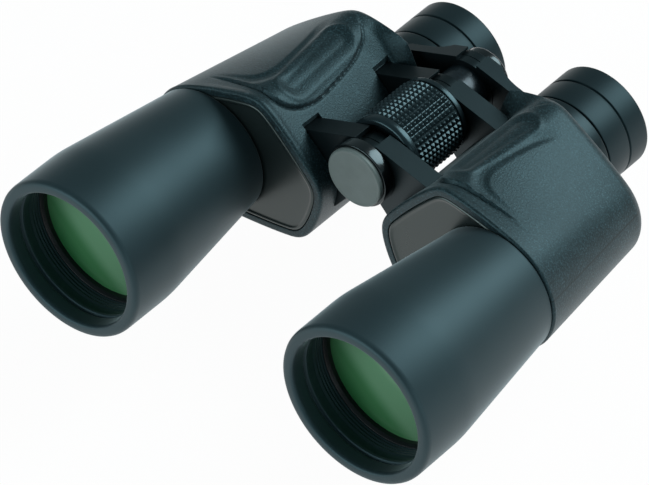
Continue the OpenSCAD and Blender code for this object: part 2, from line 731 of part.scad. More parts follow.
module left_prism_housing() { place() left() prism_housing(); }
module left_front_hinge_arm() { place() left() front_hinge_arm(0); }
module left_rear_hinge_arm() { place() left() rear_hinge_arm(0); }
module left_armour() { place() left() armour(); }
module left_front_cover() { place() left() front_cover(); }
module left_rear_cover() { place() left() rear_cover(); }
module left_objective_barrel() { place() left() objective_barrel(); }
module left_crown_lens() { place() left() crown_lens(); }
module left_flint_lens() { place() left() flint_lens(); }
module left_lens_ring() { place() left() lens_ring(); }
module left_prism_shelf() { place() left() prism_shelf(); }
module left_rear_prism() { place() left() rear_prism(); }
module left_front_prism() { place() left() front_prism(); }
module left_prism_straps() { place() left() prism_straps(); }

module right_eyepiece_barrel() { place() eyepiece_barrel(diopter_shift + skin_gap); }
module right_field_lens() { place() field_lens(); }
module right_eye_lens() { place() eye_lens(); }
module right_bezel() { place() bezel(); }
module diopter_ring_piece() { place() eyepiece_ring(head_r + run_fit); }
module right_eyecup() { place() eyecup(head_r + run_fit); }

module left_eyepiece_barrel() { place() left() eyepiece_barrel(0.05); }
module left_field_lens() { place() left() field_lens(); }
module left_eye_lens() { place() left() eye_lens(); }
module left_bezel() { place() left() bezel(); }
module left_eyepiece_collar() { place() left() eyepiece_ring(head_r + set_fit); }
module left_eyecup() { place() left() eyecup(head_r + set_fit); }

right_prism_housing();
right_front_hinge_arm();
right_rear_hinge_arm();
right_armour();
right_front_cover();
right_rear_cover();
right_objective_barrel();
right_crown_lens();
right_flint_lens();
right_lens_ring();
right_prism_shelf();
right_rear_prism();
right_front_prism();
right_prism_straps();
left_prism_housing();
left_front_hinge_arm();
left_rear_hinge_arm();
left_armour();
left_front_cover();
left_rear_cover();
left_objective_barrel();
left_crown_lens();
left_flint_lens();
left_lens_ring();
left_prism_shelf();
left_rear_prism();
left_front_prism();
left_prism_straps();
place() hinge_axle();
place() hinge_nose();
place() front_cap();
place() focus_wheel();
place() focus_stem();
place() color("darkslategray") bridge_arm(1, hub_pin_r + set_fit, ocular_r + run_fit);  // bridge_right_arm
place() left() color("darkslategray") bridge_arm(0, hub_pin_r + run_fit, ocular_r + set_fit);  // bridge_left_arm
place() bridge_end_cap();
right_eyepiece_barrel();
right_field_lens();
right_eye_lens();
right_bezel();
diopter_ring_piece();  // diopter_ring
right_eyecup();
left_eyepiece_barrel();
left_field_lens();
left_eye_lens();
left_bezel();
left_eyepiece_collar();
left_eyecup();
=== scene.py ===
import math

import bmesh
import bpy
import numpy as np
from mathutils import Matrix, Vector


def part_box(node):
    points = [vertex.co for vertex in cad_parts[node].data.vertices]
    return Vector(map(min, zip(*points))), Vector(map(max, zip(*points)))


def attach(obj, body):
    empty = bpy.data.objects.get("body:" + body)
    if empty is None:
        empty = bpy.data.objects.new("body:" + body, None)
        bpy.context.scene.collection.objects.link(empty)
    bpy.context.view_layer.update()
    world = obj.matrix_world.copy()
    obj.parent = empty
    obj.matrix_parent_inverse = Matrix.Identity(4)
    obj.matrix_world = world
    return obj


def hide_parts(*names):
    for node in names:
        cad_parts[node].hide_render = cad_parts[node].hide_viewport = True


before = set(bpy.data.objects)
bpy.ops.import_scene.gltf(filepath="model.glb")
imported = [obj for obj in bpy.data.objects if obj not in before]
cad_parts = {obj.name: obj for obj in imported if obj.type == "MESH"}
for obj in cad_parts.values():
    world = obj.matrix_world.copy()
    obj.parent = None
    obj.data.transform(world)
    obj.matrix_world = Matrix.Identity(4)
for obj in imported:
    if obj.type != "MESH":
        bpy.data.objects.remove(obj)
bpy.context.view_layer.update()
print("frame loaded,", len(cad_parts), "nodes")

# Shapes are worked out in millimetres about the hinge axis, with the objective rims at y = 0,
# and placed in the frame by one shift.


def hingeOrigin():
    noseLow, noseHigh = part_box("hinge_nose")
    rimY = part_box("right_objective_barrel")[0][1]
    return np.array([0.0, rimY, (noseLow[2] + noseHigh[2]) / 2])


origin = hingeOrigin()


def corners(node):
    # lowest and highest corner of a CAD node, in millimetres about the hinge
    low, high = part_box(node)
    return (np.array(low) - origin) * 1000, (np.array(high) - origin) * 1000


def spanOf(node):
    # y of a CAD node's front end and of its rear end
    low, high = corners(node)
    return low[1], high[1]


def axisOf(node):
    # x and z of the line that a turned CAD node is centred on
    low, high = corners(node)
    return (low[0] + high[0]) / 2, (low[2] + high[2]) / 2


def mirroredAxis(axis, side):
    return (axis[0] * side, axis[1])


objectiveAxis = axisOf("right_crown_lens")
eyepieceAxis = axisOf("right_eye_lens")
hingeAxis = (0.0, 0.0)
seamY = spanOf("right_front_cover")[0]
rearY = spanOf("right_rear_cover")[1]

# degrees from which an edge shades as sharp, and the metres within which points and edges merge
meshing = {"sharp": 38, "merge": 2e-7, "collapse": 1e-7}


def linked(name, data):
    # an object at the origin, put into the scene
    made = bpy.data.objects.new(name, data)
    bpy.context.scene.collection.objects.link(made)
    return made


def shaded(mesh, sharp=meshing["sharp"]):
    # a mesh with smooth shading up to the sharp angle
    mesh.shade_smooth()
    mesh.set_sharp_from_angle(angle=math.radians(sharp))
    return mesh


def tidyPiece(name, mesh, sharp=meshing["sharp"]):
    # merges equal points, turns the faces outwards, shades the mesh and makes its object
    work = bmesh.new()
    work.from_mesh(mesh)
    bmesh.ops.remove_doubles(work, verts=work.verts, dist=meshing["merge"])
    bmesh.ops.dissolve_degenerate(work, edges=work.edges, dist=meshing["collapse"])
    bmesh.ops.recalc_face_normals(work, faces=work.faces)
    work.to_mesh(mesh)
    work.free()
    return linked(name, shaded(mesh, sharp))


def gridPiece(name, points, closeRows=True, sharp=meshing["sharp"]):
    # A surface from a grid of points[row, column, xyz]: each face joins four neighbours, the
    # last column joins the first, and so does the last row where rows are closed. Rows that
    # shrink to one point become a pole when equal points are merged.
    rows, columns = points.shape[:2]
    row = np.arange(rows if closeRows else rows - 1)[:, None]
    column = np.arange(columns)[None, :]
    nextRow, nextColumn = (row + 1) % rows, (column + 1) % columns
    faces = np.stack([row * columns + column, row * columns + nextColumn,
                      nextRow * columns + nextColumn, nextRow * columns + column], -1)
    mesh = bpy.data.meshes.new(name)
    mesh.from_pydata(points.reshape(-1, 3) / 1000 + origin, [], faces.reshape(-1, 4))
    return tidyPiece(name, mesh, sharp)


def roundedPath(path, steps=5, closed=True):
    # Corners (u, v, rounding) become short parabolas: each starts and ends at the rounding's
    # distance along its two sides, but short of their middles, and the corner itself is the
    # control point between.
    path = np.array(path, float)
    point, size = path[:, :2], path[:, 2:3]
    before, after = np.roll(point, 1, 0) - point, np.roll(point, -1, 0) - point
    lengthBefore = np.linalg.norm(before, axis=1, keepdims=True) + 1e-12
    lengthAfter = np.linalg.norm(after, axis=1, keepdims=True) + 1e-12
    start = point + before / lengthBefore * np.minimum(size, lengthBefore * 0.49)
    end = point + after / lengthAfter * np.minimum(size, lengthAfter * 0.49)
    if not closed:
        start[0], end[0], start[-1], end[-1] = point[0], point[0], point[-1], point[-1]
    t = np.linspace(0, 1, steps)[None, :, None]
    curve = (1 - t) ** 2 * start[:, None] + 2 * t * (1 - t) * point[:, None] + t**2 * end[:, None]
    return curve.reshape(-1, 2)


def turnedPiece(name, axis, profile, closed=True, columns=160, steps=5):
    # A profile of (radius, y, rounding) turned round an axis along Y:
    # x = axis x + r sin a, z = axis z + r cos a.
    path = roundedPath(profile, steps, closed)
    angle = np.linspace(0, 2 * math.pi, columns, endpoint=False)
    points = np.empty((len(path), columns, 3))
    points[..., 0] = axis[0] + path[:, :1] * np.sin(angle)
    points[..., 1] = path[:, 1:]
    points[..., 2] = axis[1] + path[:, :1] * np.cos(angle)
    return gridPiece(name, points, closeRows=closed)


def applyModifiers(piece):
    # gives a piece the mesh that its modifiers make of its own
    bpy.context.view_layer.update()
    graph = bpy.context.evaluated_depsgraph_get()
    mesh = bpy.data.meshes.new_from_object(piece.evaluated_get(graph))
    piece.modifiers.clear()
    piece.data = mesh


def cutPiece(piece, cutters):
    # takes the cutters' shapes out of a piece, then shades it again
    for cutter in cutters:
        cut = piece.modifiers.new("cut", "BOOLEAN")
        cut.operation, cut.solver, cut.object = "DIFFERENCE", "EXACT", cutter
    applyModifiers(piece)
    shaded(piece.data)
    for cutter in cutters:
        bpy.data.objects.remove(cutter)


def finishPiece(piece, body, finish, replaced):
    # gives a piece its finish and body, and hides the CAD nodes it stands for
    piece.data.materials.clear()
    piece.data.materials.append(finishes[finish])
    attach(piece, body)
    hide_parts(*replaced)


def linear(hexText):
    # an sRGB hex colour as linear light, with an alpha of 1
    value = np.array([int(hexText[i : i + 2], 16) for i in (1, 3, 5)]) / 255
    value = np.where(value <= 0.04045, value / 12.92, ((value + 0.055) / 1.055) ** 2.4)
    return (*value, 1.0)


def addNode(tree, kind, values=None, links=None, stops=None, **settings):
    # Adds a node by the end of its type's name. Values fill sockets, links join them to an
    # output or to another node's first one, stops are a ramp's (place, hex colour).
    made = tree.nodes.new("ShaderNode" + kind)
    for key, value in settings.items():
        setattr(made, key, value)
    for key, value in (values or {}).items():
        made.inputs[key].default_value = value
    for key, source in (links or {}).items():
        output = source.outputs[0] if hasattr(source, "outputs") else source
        tree.links.new(output, made.inputs[key])
    if stops:
        ramp = made.color_ramp.elements
        for end in (0, -1):
            ramp[end].position, ramp[end].color = stops[end][0], linear(stops[end][1])
        for at, colour in stops[1:-1]:
            ramp.new(at).color = linear(colour)
    return made


def emptyTree(owner):
    # the node tree of a material or a world, with nothing in it yet
    owner.use_nodes = True
    owner.node_tree.nodes.clear()
    return owner.node_tree


def newMaterial(name):
    # a material with no nodes but the piece's own coordinates, in metres
    made = bpy.data.materials.new(name)
    tree = emptyTree(made)
    return made, tree, addNode(tree, "TexCoord").outputs["Object"]


def surfaced(made, tree, values, links):
    # ends a material with one principled shader and its output
    shader = addNode(tree, "BsdfPrincipled", values, links)
    addNode(tree, "OutputMaterial", None, {"Surface": shader})
    return made


def perMetre(millimetres):
    return 1000 / millimetres


skyTint = "#9fc8d2"  # the cool tint of what dark rubber and paint mirror

rubber = {
    # the speck colour on the pebbles' tops is a painted highlight; the seam colour marks the
    # parting line and also darkens the hollows between pebbles as painted shade
    "seam": "#030405", "low": "#10191b", "high": "#1e2d31", "speck": "#3b5056",
    "sheen": "#d5e6ea",
    "pebble": 0.6,       # mm across
    "height": 0.12,      # mm that the pebbles stand out
    "cloud": 14,         # mm across the worn patches
    "cloudShare": 0.16,  # how much they lighten the skin
    # The mould's parting line: its z at y 0 and drop per mm of y, the half width of its dark
    # core and of the whole in mm, and the x outwards of which it shows.
    "parting": {"height": -6.4, "drop": 0.044, "core": 0.1, "width": 0.4, "from": 72.0},
}


def mouldedRubber(look):
    # Moulded rubber armour: a pebbled skin 0.4 mm across in life, drawn at 0.6 mm so that it
    # shows, with a painted highlight on the pebbles' tops, painted shade in the hollows between
    # them and soft worn patches; satin, with a sheen at grazing angles.
    made, tree, place = newMaterial("mouldedRubberArmour")
    grit = addNode(tree, "TexNoise", {"Scale": perMetre(look["pebble"]), "Detail": 1.5,
                                      "Roughness": 0.6}, {"Vector": place})
    cloud = addNode(tree, "TexNoise", {"Scale": perMetre(look["cloud"]), "Detail": 3.0},
                    {"Vector": place})
    patch = addNode(tree, "Math", {1: look["cloudShare"]}, {0: cloud}, operation="MULTIPLY")
    pebbleShadeAndWear = addNode(tree, "Math", None, {0: grit, 1: patch}, operation="ADD")
    # the parting line is dark where |z + drop y - height| is small and |x| is large
    parting = look["parting"]
    height = parting["height"] / 1000 + origin[2] + parting["drop"] * origin[1]
    split = addNode(tree, "SeparateXYZ", None, {"Vector": place})
    level = addNode(tree, "Math", {1: parting["drop"]},
                    {0: split.outputs["Y"], 2: split.outputs["Z"]}, operation="MULTIPLY_ADD")
    level = addNode(tree, "Math", {1: height}, {0: level}, operation="SUBTRACT")
    level = addNode(tree, "Math", None, {0: level}, operation="ABSOLUTE")
    clear = addNode(tree, "MapRange", {"From Min": parting["core"] / 1000,
                                       "From Max": parting["width"] / 1000}, {"Value": level})
    inner = addNode(tree, "Math", None, {0: split.outputs["X"]}, operation="ABSOLUTE")
    inner = addNode(tree, "Math", {1: parting["from"] / 1000}, {0: inner}, operation="LESS_THAN")
    clear = addNode(tree, "Math", None, {0: clear, 1: inner}, operation="MAXIMUM")
    pebbleShadeAndWear = addNode(tree, "Math", None, {0: pebbleShadeAndWear, 1: clear}, operation="MULTIPLY")
    # the pebbles' noise paints their tops pale as a highlight and their hollows dark as shade
    ramp = addNode(tree, "ValToRGB", None, {"Fac": pebbleShadeAndWear},
                   ((0.1, look["seam"]), (0.5, look["low"]), (0.68, look["high"]),
                    (0.84, look["speck"])))
    bump = addNode(tree, "Bump", {"Strength": 0.9, "Distance": look["height"] / 1000},
                   {"Height": grit})
    return surfaced(made, tree, {
        "Roughness": 0.45, "IOR": 1.6, "Specular Tint": linear(skyTint), "Sheen Weight": 0.15,
        "Sheen Roughness": 0.35, "Sheen Tint": linear(look["sheen"])},
        {"Base Color": ramp, "Normal": bump})


# For each paint or plastic: its darkest and palest shade, mm across the clouds between them
# and across the orange peel, the peel's height in mm, and the roughness. Some have their own
# ior, sheen, clear coat or tint of the highlight.
paints = {
    "barrel": {"name": "satinPaintedBarrel", "low": "#192427", "high": "#1d292d", "cloud": 30,
               "peel": 0.5, "height": 0.012, "roughness": 0.5, "ior": 1.7, "sheen": 0.4},
    "cover": {"name": "satinPaintedCover", "low": "#192020", "high": "#1d2424", "cloud": 22,
              "peel": 0.4, "height": 0.002, "roughness": 0.28, "ior": 1.75, "tint": "#c3d3d1"},
    "casting": {"name": "satinBlackCasting", "low": "#06090a", "high": "#0a0e10", "cloud": 16,
                "peel": 0.45, "height": 0.004, "roughness": 0.38},
    "bridge": {"name": "satinBlackBridge", "low": "#0a0f11", "high": "#101618", "cloud": 14,
               "peel": 0.45, "height": 0.003, "roughness": 0.32},
    "rubber": {"name": "mouldedRubberEyecup", "low": "#131c1f", "high": "#182326", "cloud": 20,
               "peel": 0.35, "height": 0.006, "roughness": 0.45, "sheen": 0.1},
    "ring": {"name": "mouldedRingPlastic", "low": "#12191b", "high": "#172022", "cloud": 20,
             "peel": 0.4, "height": 0.003, "roughness": 0.38, "sheen": 0.1},
    "wheel": {"name": "knurledWheelRubber", "low": "#12191c", "high": "#182124", "cloud": 8,
              "peel": 0.4, "height": 0.004, "roughness": 0.25, "ior": 1.65},
    "nose": {"name": "glossBlackPlastic", "low": "#050708", "high": "#07090a", "cloud": 20,
             "peel": 2.0, "height": 0.001, "roughness": 0.12, "coat": 0.5},
    "cap": {"name": "anodisedGreyCap", "low": "#606967", "high": "#6a7371", "cloud": 6,
            "peel": 0.3, "height": 0.002, "roughness": 0.4, "tint": "#cddad8"},
}


def paintedAlloy(look):
    # Painted light alloy or moulded plastic: an even satin skin. A fine orange peel breaks up
    # the highlight, and the gloss drifts a little from place to place.
    made, tree, place = newMaterial(look["name"])
    cloud = addNode(tree, "TexNoise", {"Scale": perMetre(look["cloud"]), "Detail": 4.0},
                    {"Vector": place})
    peel = addNode(tree, "TexNoise", {"Scale": perMetre(look["peel"]), "Detail": 2.0},
                   {"Vector": place})
    ramp = addNode(tree, "ValToRGB", None, {"Fac": cloud},
                   ((0.3, look["low"]), (0.72, look["high"])))
    gloss = addNode(tree, "MapRange", {"To Min": look["roughness"] - 0.04,
                                       "To Max": look["roughness"] + 0.05}, {"Value": cloud})
    bump = addNode(tree, "Bump", {"Strength": 1.0, "Distance": look["height"] / 1000},
                   {"Height": peel})
    return surfaced(made, tree, {
        "IOR": look.get("ior", 1.5), "Specular Tint": linear(look.get("tint", skyTint)),
        "Coat Weight": look.get("coat", 0.0), "Coat Roughness": 0.25,
        "Sheen Weight": look.get("sheen", 0.0), "Sheen Roughness": 0.3,
        "Sheen Tint": linear("#d8e6ea")},
        {"Base Color": ramp, "Roughness": gloss, "Normal": bump})


turning = {"speck": 0.9, "height": 0.02}  # mm across the specks, mm that the rings stand out

# darkest and palest shade, mm from one ring to the next, how strongly the rings show
metals = {
    "stem": {"name": "turnedBlackStem", "low": "#1c2428", "high": "#29343a", "ring": 3.184,
             "strength": 0.5, "metallic": 0.6, "roughness": 0.27},
    "black": {"name": "blackenedLensTube", "low": "#0b0e10", "high": "#12171a", "ring": 3.821,
              "strength": 0.4, "metallic": 0.0, "roughness": 0.38},
    "steel": {"name": "turnedSteelAxle", "low": "#6f7272", "high": "#8a8d8d", "ring": 2.547,
              "strength": 0.4, "metallic": 1.0, "roughness": 0.3},
    "shelf": {"name": "machinedShelf", "low": "#7d8080", "high": "#9a9d9d", "ring": 5.094,
              "strength": 0.3, "metallic": 1.0, "roughness": 0.42},
}


def turnedMetal(look):
    # Turned and blackened metal: rings left by the lathe run round the Y axis and show as
    # faint lines across the highlight. They are a tenth of a millimetre apart in life, drawn
    # 2.5 to 5 mm apart so that they show. A wave of scale s repeats every pi / (10 s).
    made, tree, place = newMaterial(look["name"])
    rings = addNode(tree, "TexWave", {"Scale": perMetre(look["ring"]) * math.pi / 10,
                                      "Distortion": 0.6, "Detail": 1.0}, {"Vector": place},
                    wave_type="BANDS", bands_direction="Y")
    speck = addNode(tree, "TexNoise", {"Scale": perMetre(turning["speck"]), "Detail": 3.0},
                    {"Vector": place})
    ramp = addNode(tree, "ValToRGB", None, {"Fac": speck},
                   ((0.3, look["low"]), (0.7, look["high"])))
    bump = addNode(tree, "Bump", {"Strength": look["strength"],
                                  "Distance": turning["height"] / 1000},
                   {"Height": rings.outputs["Fac"]})
    return surfaced(made, tree, {"Metallic": look["metallic"], "Roughness": look["roughness"]},
                    {"Base Color": ramp, "Normal": bump})


# colours of the glasses from dark to pale: painted shade at the dark end, painted reflection at
# the pale end
greenPaintedShade = ((0.12, "#143a1f"), (0.27, "#0e2c17"), (0.4, "#184726"), (0.5, "#1e5430"),
              (0.62, "#285e36"), (0.76, "#3a6a44"), (0.9, "#5f8566"))
bluePaintedShade = ((0.1, "#0c1218"), (0.5, "#16222c"), (0.9, "#344650"))
greyPaintedShade = ((0.1, "#26302f"), (0.5, "#4a5654"), (0.9, "#8a9693"))

# x and z that the bands are centred on, mm from there to their ends, and their colours
glasses = {
    "rightLens": {"name": "coatedCrownGlassRight", "centre": mirroredAxis(objectiveAxis, 1),
                  "reach": 27, "bands": greenPaintedShade},
    "leftLens": {"name": "coatedCrownGlassLeft", "centre": mirroredAxis(objectiveAxis, -1),
                 "reach": 27, "bands": greenPaintedShade},
    "eyeLens": {"name": "coatedEyeGlass", "centre": (0, 0), "reach": 50, "bands": bluePaintedShade},
    "prism": {"name": "polishedPrismGlass", "centre": (0, 0), "reach": 60, "bands": greyPaintedShade},
}


def coatedGlass(look):
    # Glass with an anti-reflection coating: its tint is the coating's own, and soft bands along
    # 0.6 x + 0.6 z paint shade low on the side of -X and a paler reflection high on the side of
    # +X.
    made, tree, place = newMaterial(look["name"])
    centreX, centreZ = look["centre"]
    local = addNode(tree, "Mapping", {"Location": (-centreX / 1000, 0, -centreZ / 1000)},
                    {"Vector": place})
    split = addNode(tree, "SeparateXYZ", None, {"Vector": local})
    # painted shade gives way to painted reflection along 0.6 x + 0.6 z
    towardsPaintedLight = addNode(tree, "Math", {1: 0.6}, {0: split.outputs["X"]}, operation="MULTIPLY")
    towardsPaintedLight = addNode(tree, "Math", {1: 0.6}, {0: split.outputs["Z"], 2: towardsPaintedLight},
                    operation="MULTIPLY_ADD")
    reach = look["reach"] / 1000
    along = addNode(tree, "MapRange", {"From Min": -reach, "From Max": reach}, {"Value": towardsPaintedLight})
    ramp = addNode(tree, "ValToRGB", None, {"Fac": along}, look["bands"])
    ramp.color_ramp.interpolation = "EASE"
    return surfaced(made, tree, {"Roughness": 0.12, "IOR": 1.52, "Specular IOR Level": 0.25,
                                 "Specular Tint": linear("#63c783")}, {"Base Color": ramp})


finishes = {"armour": mouldedRubber(rubber)}
for make, looks in ((paintedAlloy, paints), (turnedMetal, metals), (coatedGlass, glasses)):
    finishes.update({key: make(look) for key, look in looks.items()})
print("materials made:", len(finishes))

# a housing's section is stretched round circles, in millimetres about the hinge
housing = {
    # their x, z and radius at the seam, and what each of the three gains by the rear face
    "circles": [(objectiveAxis[0], objectiveAxis[1], 25.6, -1.4, -2.9, -6.1),
                (eyepieceAxis[0] - 6.5, eyepieceAxis[1] + 6.8, 12, 0, 0, 0),
                (eyepieceAxis[0] - 2, eyepieceAxis[1] - 6.2, 11.5, 0, 0, 0)],
    # the flat top between the two: x, z, radius, and how far it rises by the rear face
    "top": ((objectiveAxis[0] + eyepieceAxis[0]) / 2 - 4.65, 5, 12, 1.2),
    # the rear end's corner over the hinge: x, z and radius, and how far it moves in x and z
    # as it comes out of the skin over the tail
    "corner": (eyepieceAxis[0] - 3.2, 0.2, 3, -4, 11),
    # a point well inside, that directions are taken from
    "middle": ((objectiveAxis[0] + eyepieceAxis[0]) / 2 - 2,
               (objectiveAxis[1] + eyepieceAxis[1]) / 2 + 6),
    "blend": 26,          # how sharply one circle takes over from the next
    "tail": 5.0,          # length of the rounding at the rear
    "lipInset": 3.2,      # inner edge of the flat front lip
    "wall": 2.4,          # thickness of the armour
}


def sectionPoint(y, angle, inset):
    # Edge point of the housing whose normal looks along angle. Of the circles the one that
    # reaches furthest that way wins, softly: size^blend is the sum of reach^blend, and each
    # weighs (reach / size)^(blend - 1).
    # Down goes from 0 at the seam to 1 at the rear face, turn from 0 where the tail begins to
    # 1 half a millimetre before its end.
    down = (y - seamY) / (rearY - seamY)
    turn = np.clip((y - rearY + housing["tail"]) / (housing["tail"] - 0.5), 0, 1)
    circle = [(x + gainX * down, z + gainZ * down, radius + gainRadius * down)
              for x, z, radius, gainX, gainZ, gainRadius in housing["circles"]]
    x, z, radius, rise = housing["top"]
    circle.append((x, z + rise * down**3, radius))
    x, z, radius, shift, lift = housing["corner"]
    circle.append((x + shift * turn, z + lift * turn, radius * np.clip(down, 0, 1)))
    middle, blend = housing["middle"], housing["blend"]
    shape = np.broadcast(y, angle, inset).shape
    unit = (np.broadcast_to(np.cos(angle), shape), np.broadcast_to(np.sin(angle), shape))
    x, z, radius = (np.stack([np.broadcast_to(c[k], shape) for c in circle]) for k in (0, 1, 2))
    x, z, radius = x - middle[0], z - middle[1], radius - inset
    reach = np.maximum(0, x * unit[0] + z * unit[1] + radius)
    top = reach.max(0)
    size = top * ((reach / top) ** blend).sum(0) ** (1 / blend)
    weight = (reach / size) ** (blend - 1)
    return (middle[0] + (weight * (x + radius * unit[0])).sum(0),
            middle[1] + (weight * (z + radius * unit[1])).sum(0))


def sectionGrid(path, columns, at=None):
    # Rows follow the path of (y, inset, extra inset towards +X), each an edge of the section at
    # its own y, or at one given y. Columns are spaced evenly along that edge.
    path = np.array(path, float)
    angle = np.linspace(0, 2 * math.pi, 3601)[None, :]
    y = path[:, 0:1]
    inset = path[:, 1:2] + path[:, 2:3] * (1 + np.cos(angle)) / 2
    x, z = sectionPoint(y if at is None else np.full_like(y, at), angle, inset)
    run = np.cumsum(np.hypot(np.diff(x), np.diff(z)), axis=1)
    run = np.hstack([np.zeros_like(y), run / run[:, -1:]])
    share = np.arange(columns) / columns
    x, z = (np.stack([np.interp(share, *pair) for pair in zip(run, side)]) for side in (x, z))
    return np.stack([x, np.broadcast_to(y, x.shape), z], -1)


# The thumb pad's carving on the upper side, in millimetres. A pair is where a soft change
# begins and where it ends.
relief = {
    # crease along the pad's front and hinge side, from its outer tail to the rear, as x and y
    # from the seam, and the ridge along the pad's outer side
    "crease": [(73, 9.2), (66, 8.6), (60, 8.3), (54.5, 7.7), (47.5, 6.9), (41, 6.2), (37, 6.6),
               (34.2, 8.5), (32.3, 11.5), (31.1, 15.5), (30.5, 20.5), (30.7, 26.5), (31.2, 33),
               (31.9, 39.5), (32.9, 45.4), (34.5, 50.3), (36.2, 53.2), (38.4, 55)],
    "ridge": [(74, 11.2), (69, 11.6), (61.5, 12.2), (53.8, 12.9), (50.7, 15.4), (49.4, 19.8),
              (49.8, 26.3), (50.6, 32.6), (51.9, 39.8), (53.8, 46.5), (56, 52)],
    # as shares of the two curves' lengths: where each comes in and goes out, and how much of
    # the crease goes out
    "creaseIn": (0, 0.22), "creaseOut": (0.9, 1), "creaseLoss": 0.6,
    "ridgeIn": (0, 0.45), "ridgeOut": (0.8, 1),
    "step": 1.1,             # how far the skin drops across the crease
    "stepWidth": 0.6,        # to each side of the crease
    "reach": (5.0, 45.0),    # over what distance it comes back, in front and on the hinge side
    "reachTurn": (0.42, 0.6),   # share of the crease's length between the two
    "groove": 0.55,          # depth of the groove beside the step, and its place and width
    "groovePlace": 0.35, "grooveWidth": 0.6,
    "channel": 0.7,          # depth of the channel, and its two sides from the ridge inwards
    "channelIn": (-0.2, 2.4), "channelOut": (3.6, 7.5),
    "channelClear": (-0.5, 1.5),   # how far it keeps from the crease
    # thumb rest: front and rear centre (x, y from the seam) with their radii, its depth and
    # slope, and the height and width of its rim
    "oval": ((38.7, 17.0, 5.0), (41.3, 44.2, 6.3)),
    "ovalDepth": 1.15, "ovalSlope": (-0.4, 3.4), "rim": 0.22, "rimWidth": 0.9,
    # where the carving comes in: z, y behind the seam and y before the rear face
    "upper": (-8.0, -2.0), "front": (1.3, 4), "back": (6, 2),
}


def openCurve(control, steps=6):
    # smooth open curve through the control points (Catmull-Rom, with the ends mirrored)
    control = np.array(control, float)
    control = np.vstack([2 * control[0] - control[1], control, 2 * control[-1] - control[-2]])
    p0, p1, p2, p3 = (control[k : len(control) - 3 + k, None] for k in range(4))
    t = np.linspace(0, 1, steps, endpoint=False)[None, :, None]
    curve = 0.5 * (2 * p1 + (p2 - p0) * t + (2 * p0 - 5 * p1 + 4 * p2 - p3) * t**2
                   + (3 * p1 - p0 - 3 * p2 + p3) * t**3)
    return np.vstack([curve.reshape(-1, 2), control[-2]])


def onSkin(curve):
    # lifts a curve of x and y from the seam on to the housing's upper skin
    y = seamY + curve[:, 1:2]
    angle = np.linspace(0.02, math.pi, 400)[None, :]
    x, z = sectionPoint(y, angle, np.zeros_like(y))
    height = [np.interp(at, row[::-1], up[::-1]) for at, row, up in zip(curve[:, 0], x, z)]
    return np.stack([curve[:, 0], y[:, 0], height], -1)


def curveDistance(points, curve):
    # Distance in space from each point to an open curve on the skin, with its sign from the
    # side on which the point lies seen from above, and the share of the curve's length there.
    start, side = curve[:-1], np.diff(curve, axis=0)
    length = np.linalg.norm(side, axis=1)
    before = np.concatenate([[0], np.cumsum(length)])
    best = np.full(len(points), 1e9)
    sign, share = np.ones(len(points)), np.zeros(len(points))
    for k in range(len(start)):
        away = points - start[k]
        along = np.clip(away @ side[k] / length[k] ** 2, 0, 1)
        gap = np.linalg.norm(away - along[:, None] * side[k], axis=1)
        near = gap < best
        best = np.where(near, gap, best)
        cross = side[k, 0] * away[:, 1] - side[k, 1] * away[:, 0]
        sign = np.where(near, np.sign(cross), sign)
        share = np.where(near, (before[k] + along * length[k]) / before[-1], share)
    return best * sign, share


def softStep(value, low, high):
    t = np.clip((value - low) / (high - low), 0, 1)
    return t * t * (3 - 2 * t)


def creaseDepth(toPad, share):
    # Outwards of the crease the skin stands one crisp step higher than on the hinge side and
    # the front band, which come back to the skin's level further off. A groove marks the step.
    fade = softStep(share, *relief["creaseIn"])
    fade *= 1 - relief["creaseLoss"] * softStep(share, *relief["creaseOut"])
    near, wide = relief["reach"]
    reach = near + (wide - near) * softStep(share, *relief["reachTurn"])
    width = relief["stepWidth"]
    lower = (1 - softStep(toPad, -width, width)) * np.exp(-np.clip(-toPad, 0, None) / reach)
    line = np.exp(-(((toPad + relief["groovePlace"]) / relief["grooveWidth"]) ** 2))
    return fade * (relief["step"] * lower + relief["groove"] * line)


def channelDepth(inRidge, share, toPad):
    # a soft channel along the inside of the ridge
    fade = softStep(share, *relief["ridgeIn"]) * (1 - softStep(share, *relief["ridgeOut"]))
    channel = softStep(inRidge, *relief["channelIn"])
    channel *= 1 - softStep(inRidge, *relief["channelOut"])
    return fade * (relief["channel"] * channel * softStep(toPad, *relief["channelClear"]))


def withThumbRest(x, y, depth):
    # adds the thumb rest, a hollow round a line whose radius grows along it, and its low rim
    (frontX, frontY, frontR), (backX, backY, backR) = relief["oval"]
    run = np.clip((y - frontY) / (backY - frontY), 0, 1)
    out = np.hypot(x - frontX - run * (backX - frontX), y - frontY - run * (backY - frontY))
    out -= frontR + run * (backR - frontR)
    width = relief["rimWidth"]
    depth = depth + relief["ovalDepth"] * softStep(-out, *relief["ovalSlope"])
    return depth - relief["rim"] * np.exp(-(((out - width) / width) ** 2))


def padRelief(points):
    # how far the carving goes into the skin at each point, in millimetres
    flat = points.reshape(-1, 3)
    fromCrease, creaseShare = curveDistance(flat, onSkin(openCurve(relief["crease"])))
    inRidge, ridgeShare = curveDistance(flat, onSkin(openCurve(relief["ridge"])))
    depth = creaseDepth(-fromCrease, creaseShare)
    depth += channelDepth(inRidge, ridgeShare, -fromCrease)
    depth = withThumbRest(flat[:, 0], flat[:, 1] - seamY, depth)
    return depth.reshape(points.shape[:2])


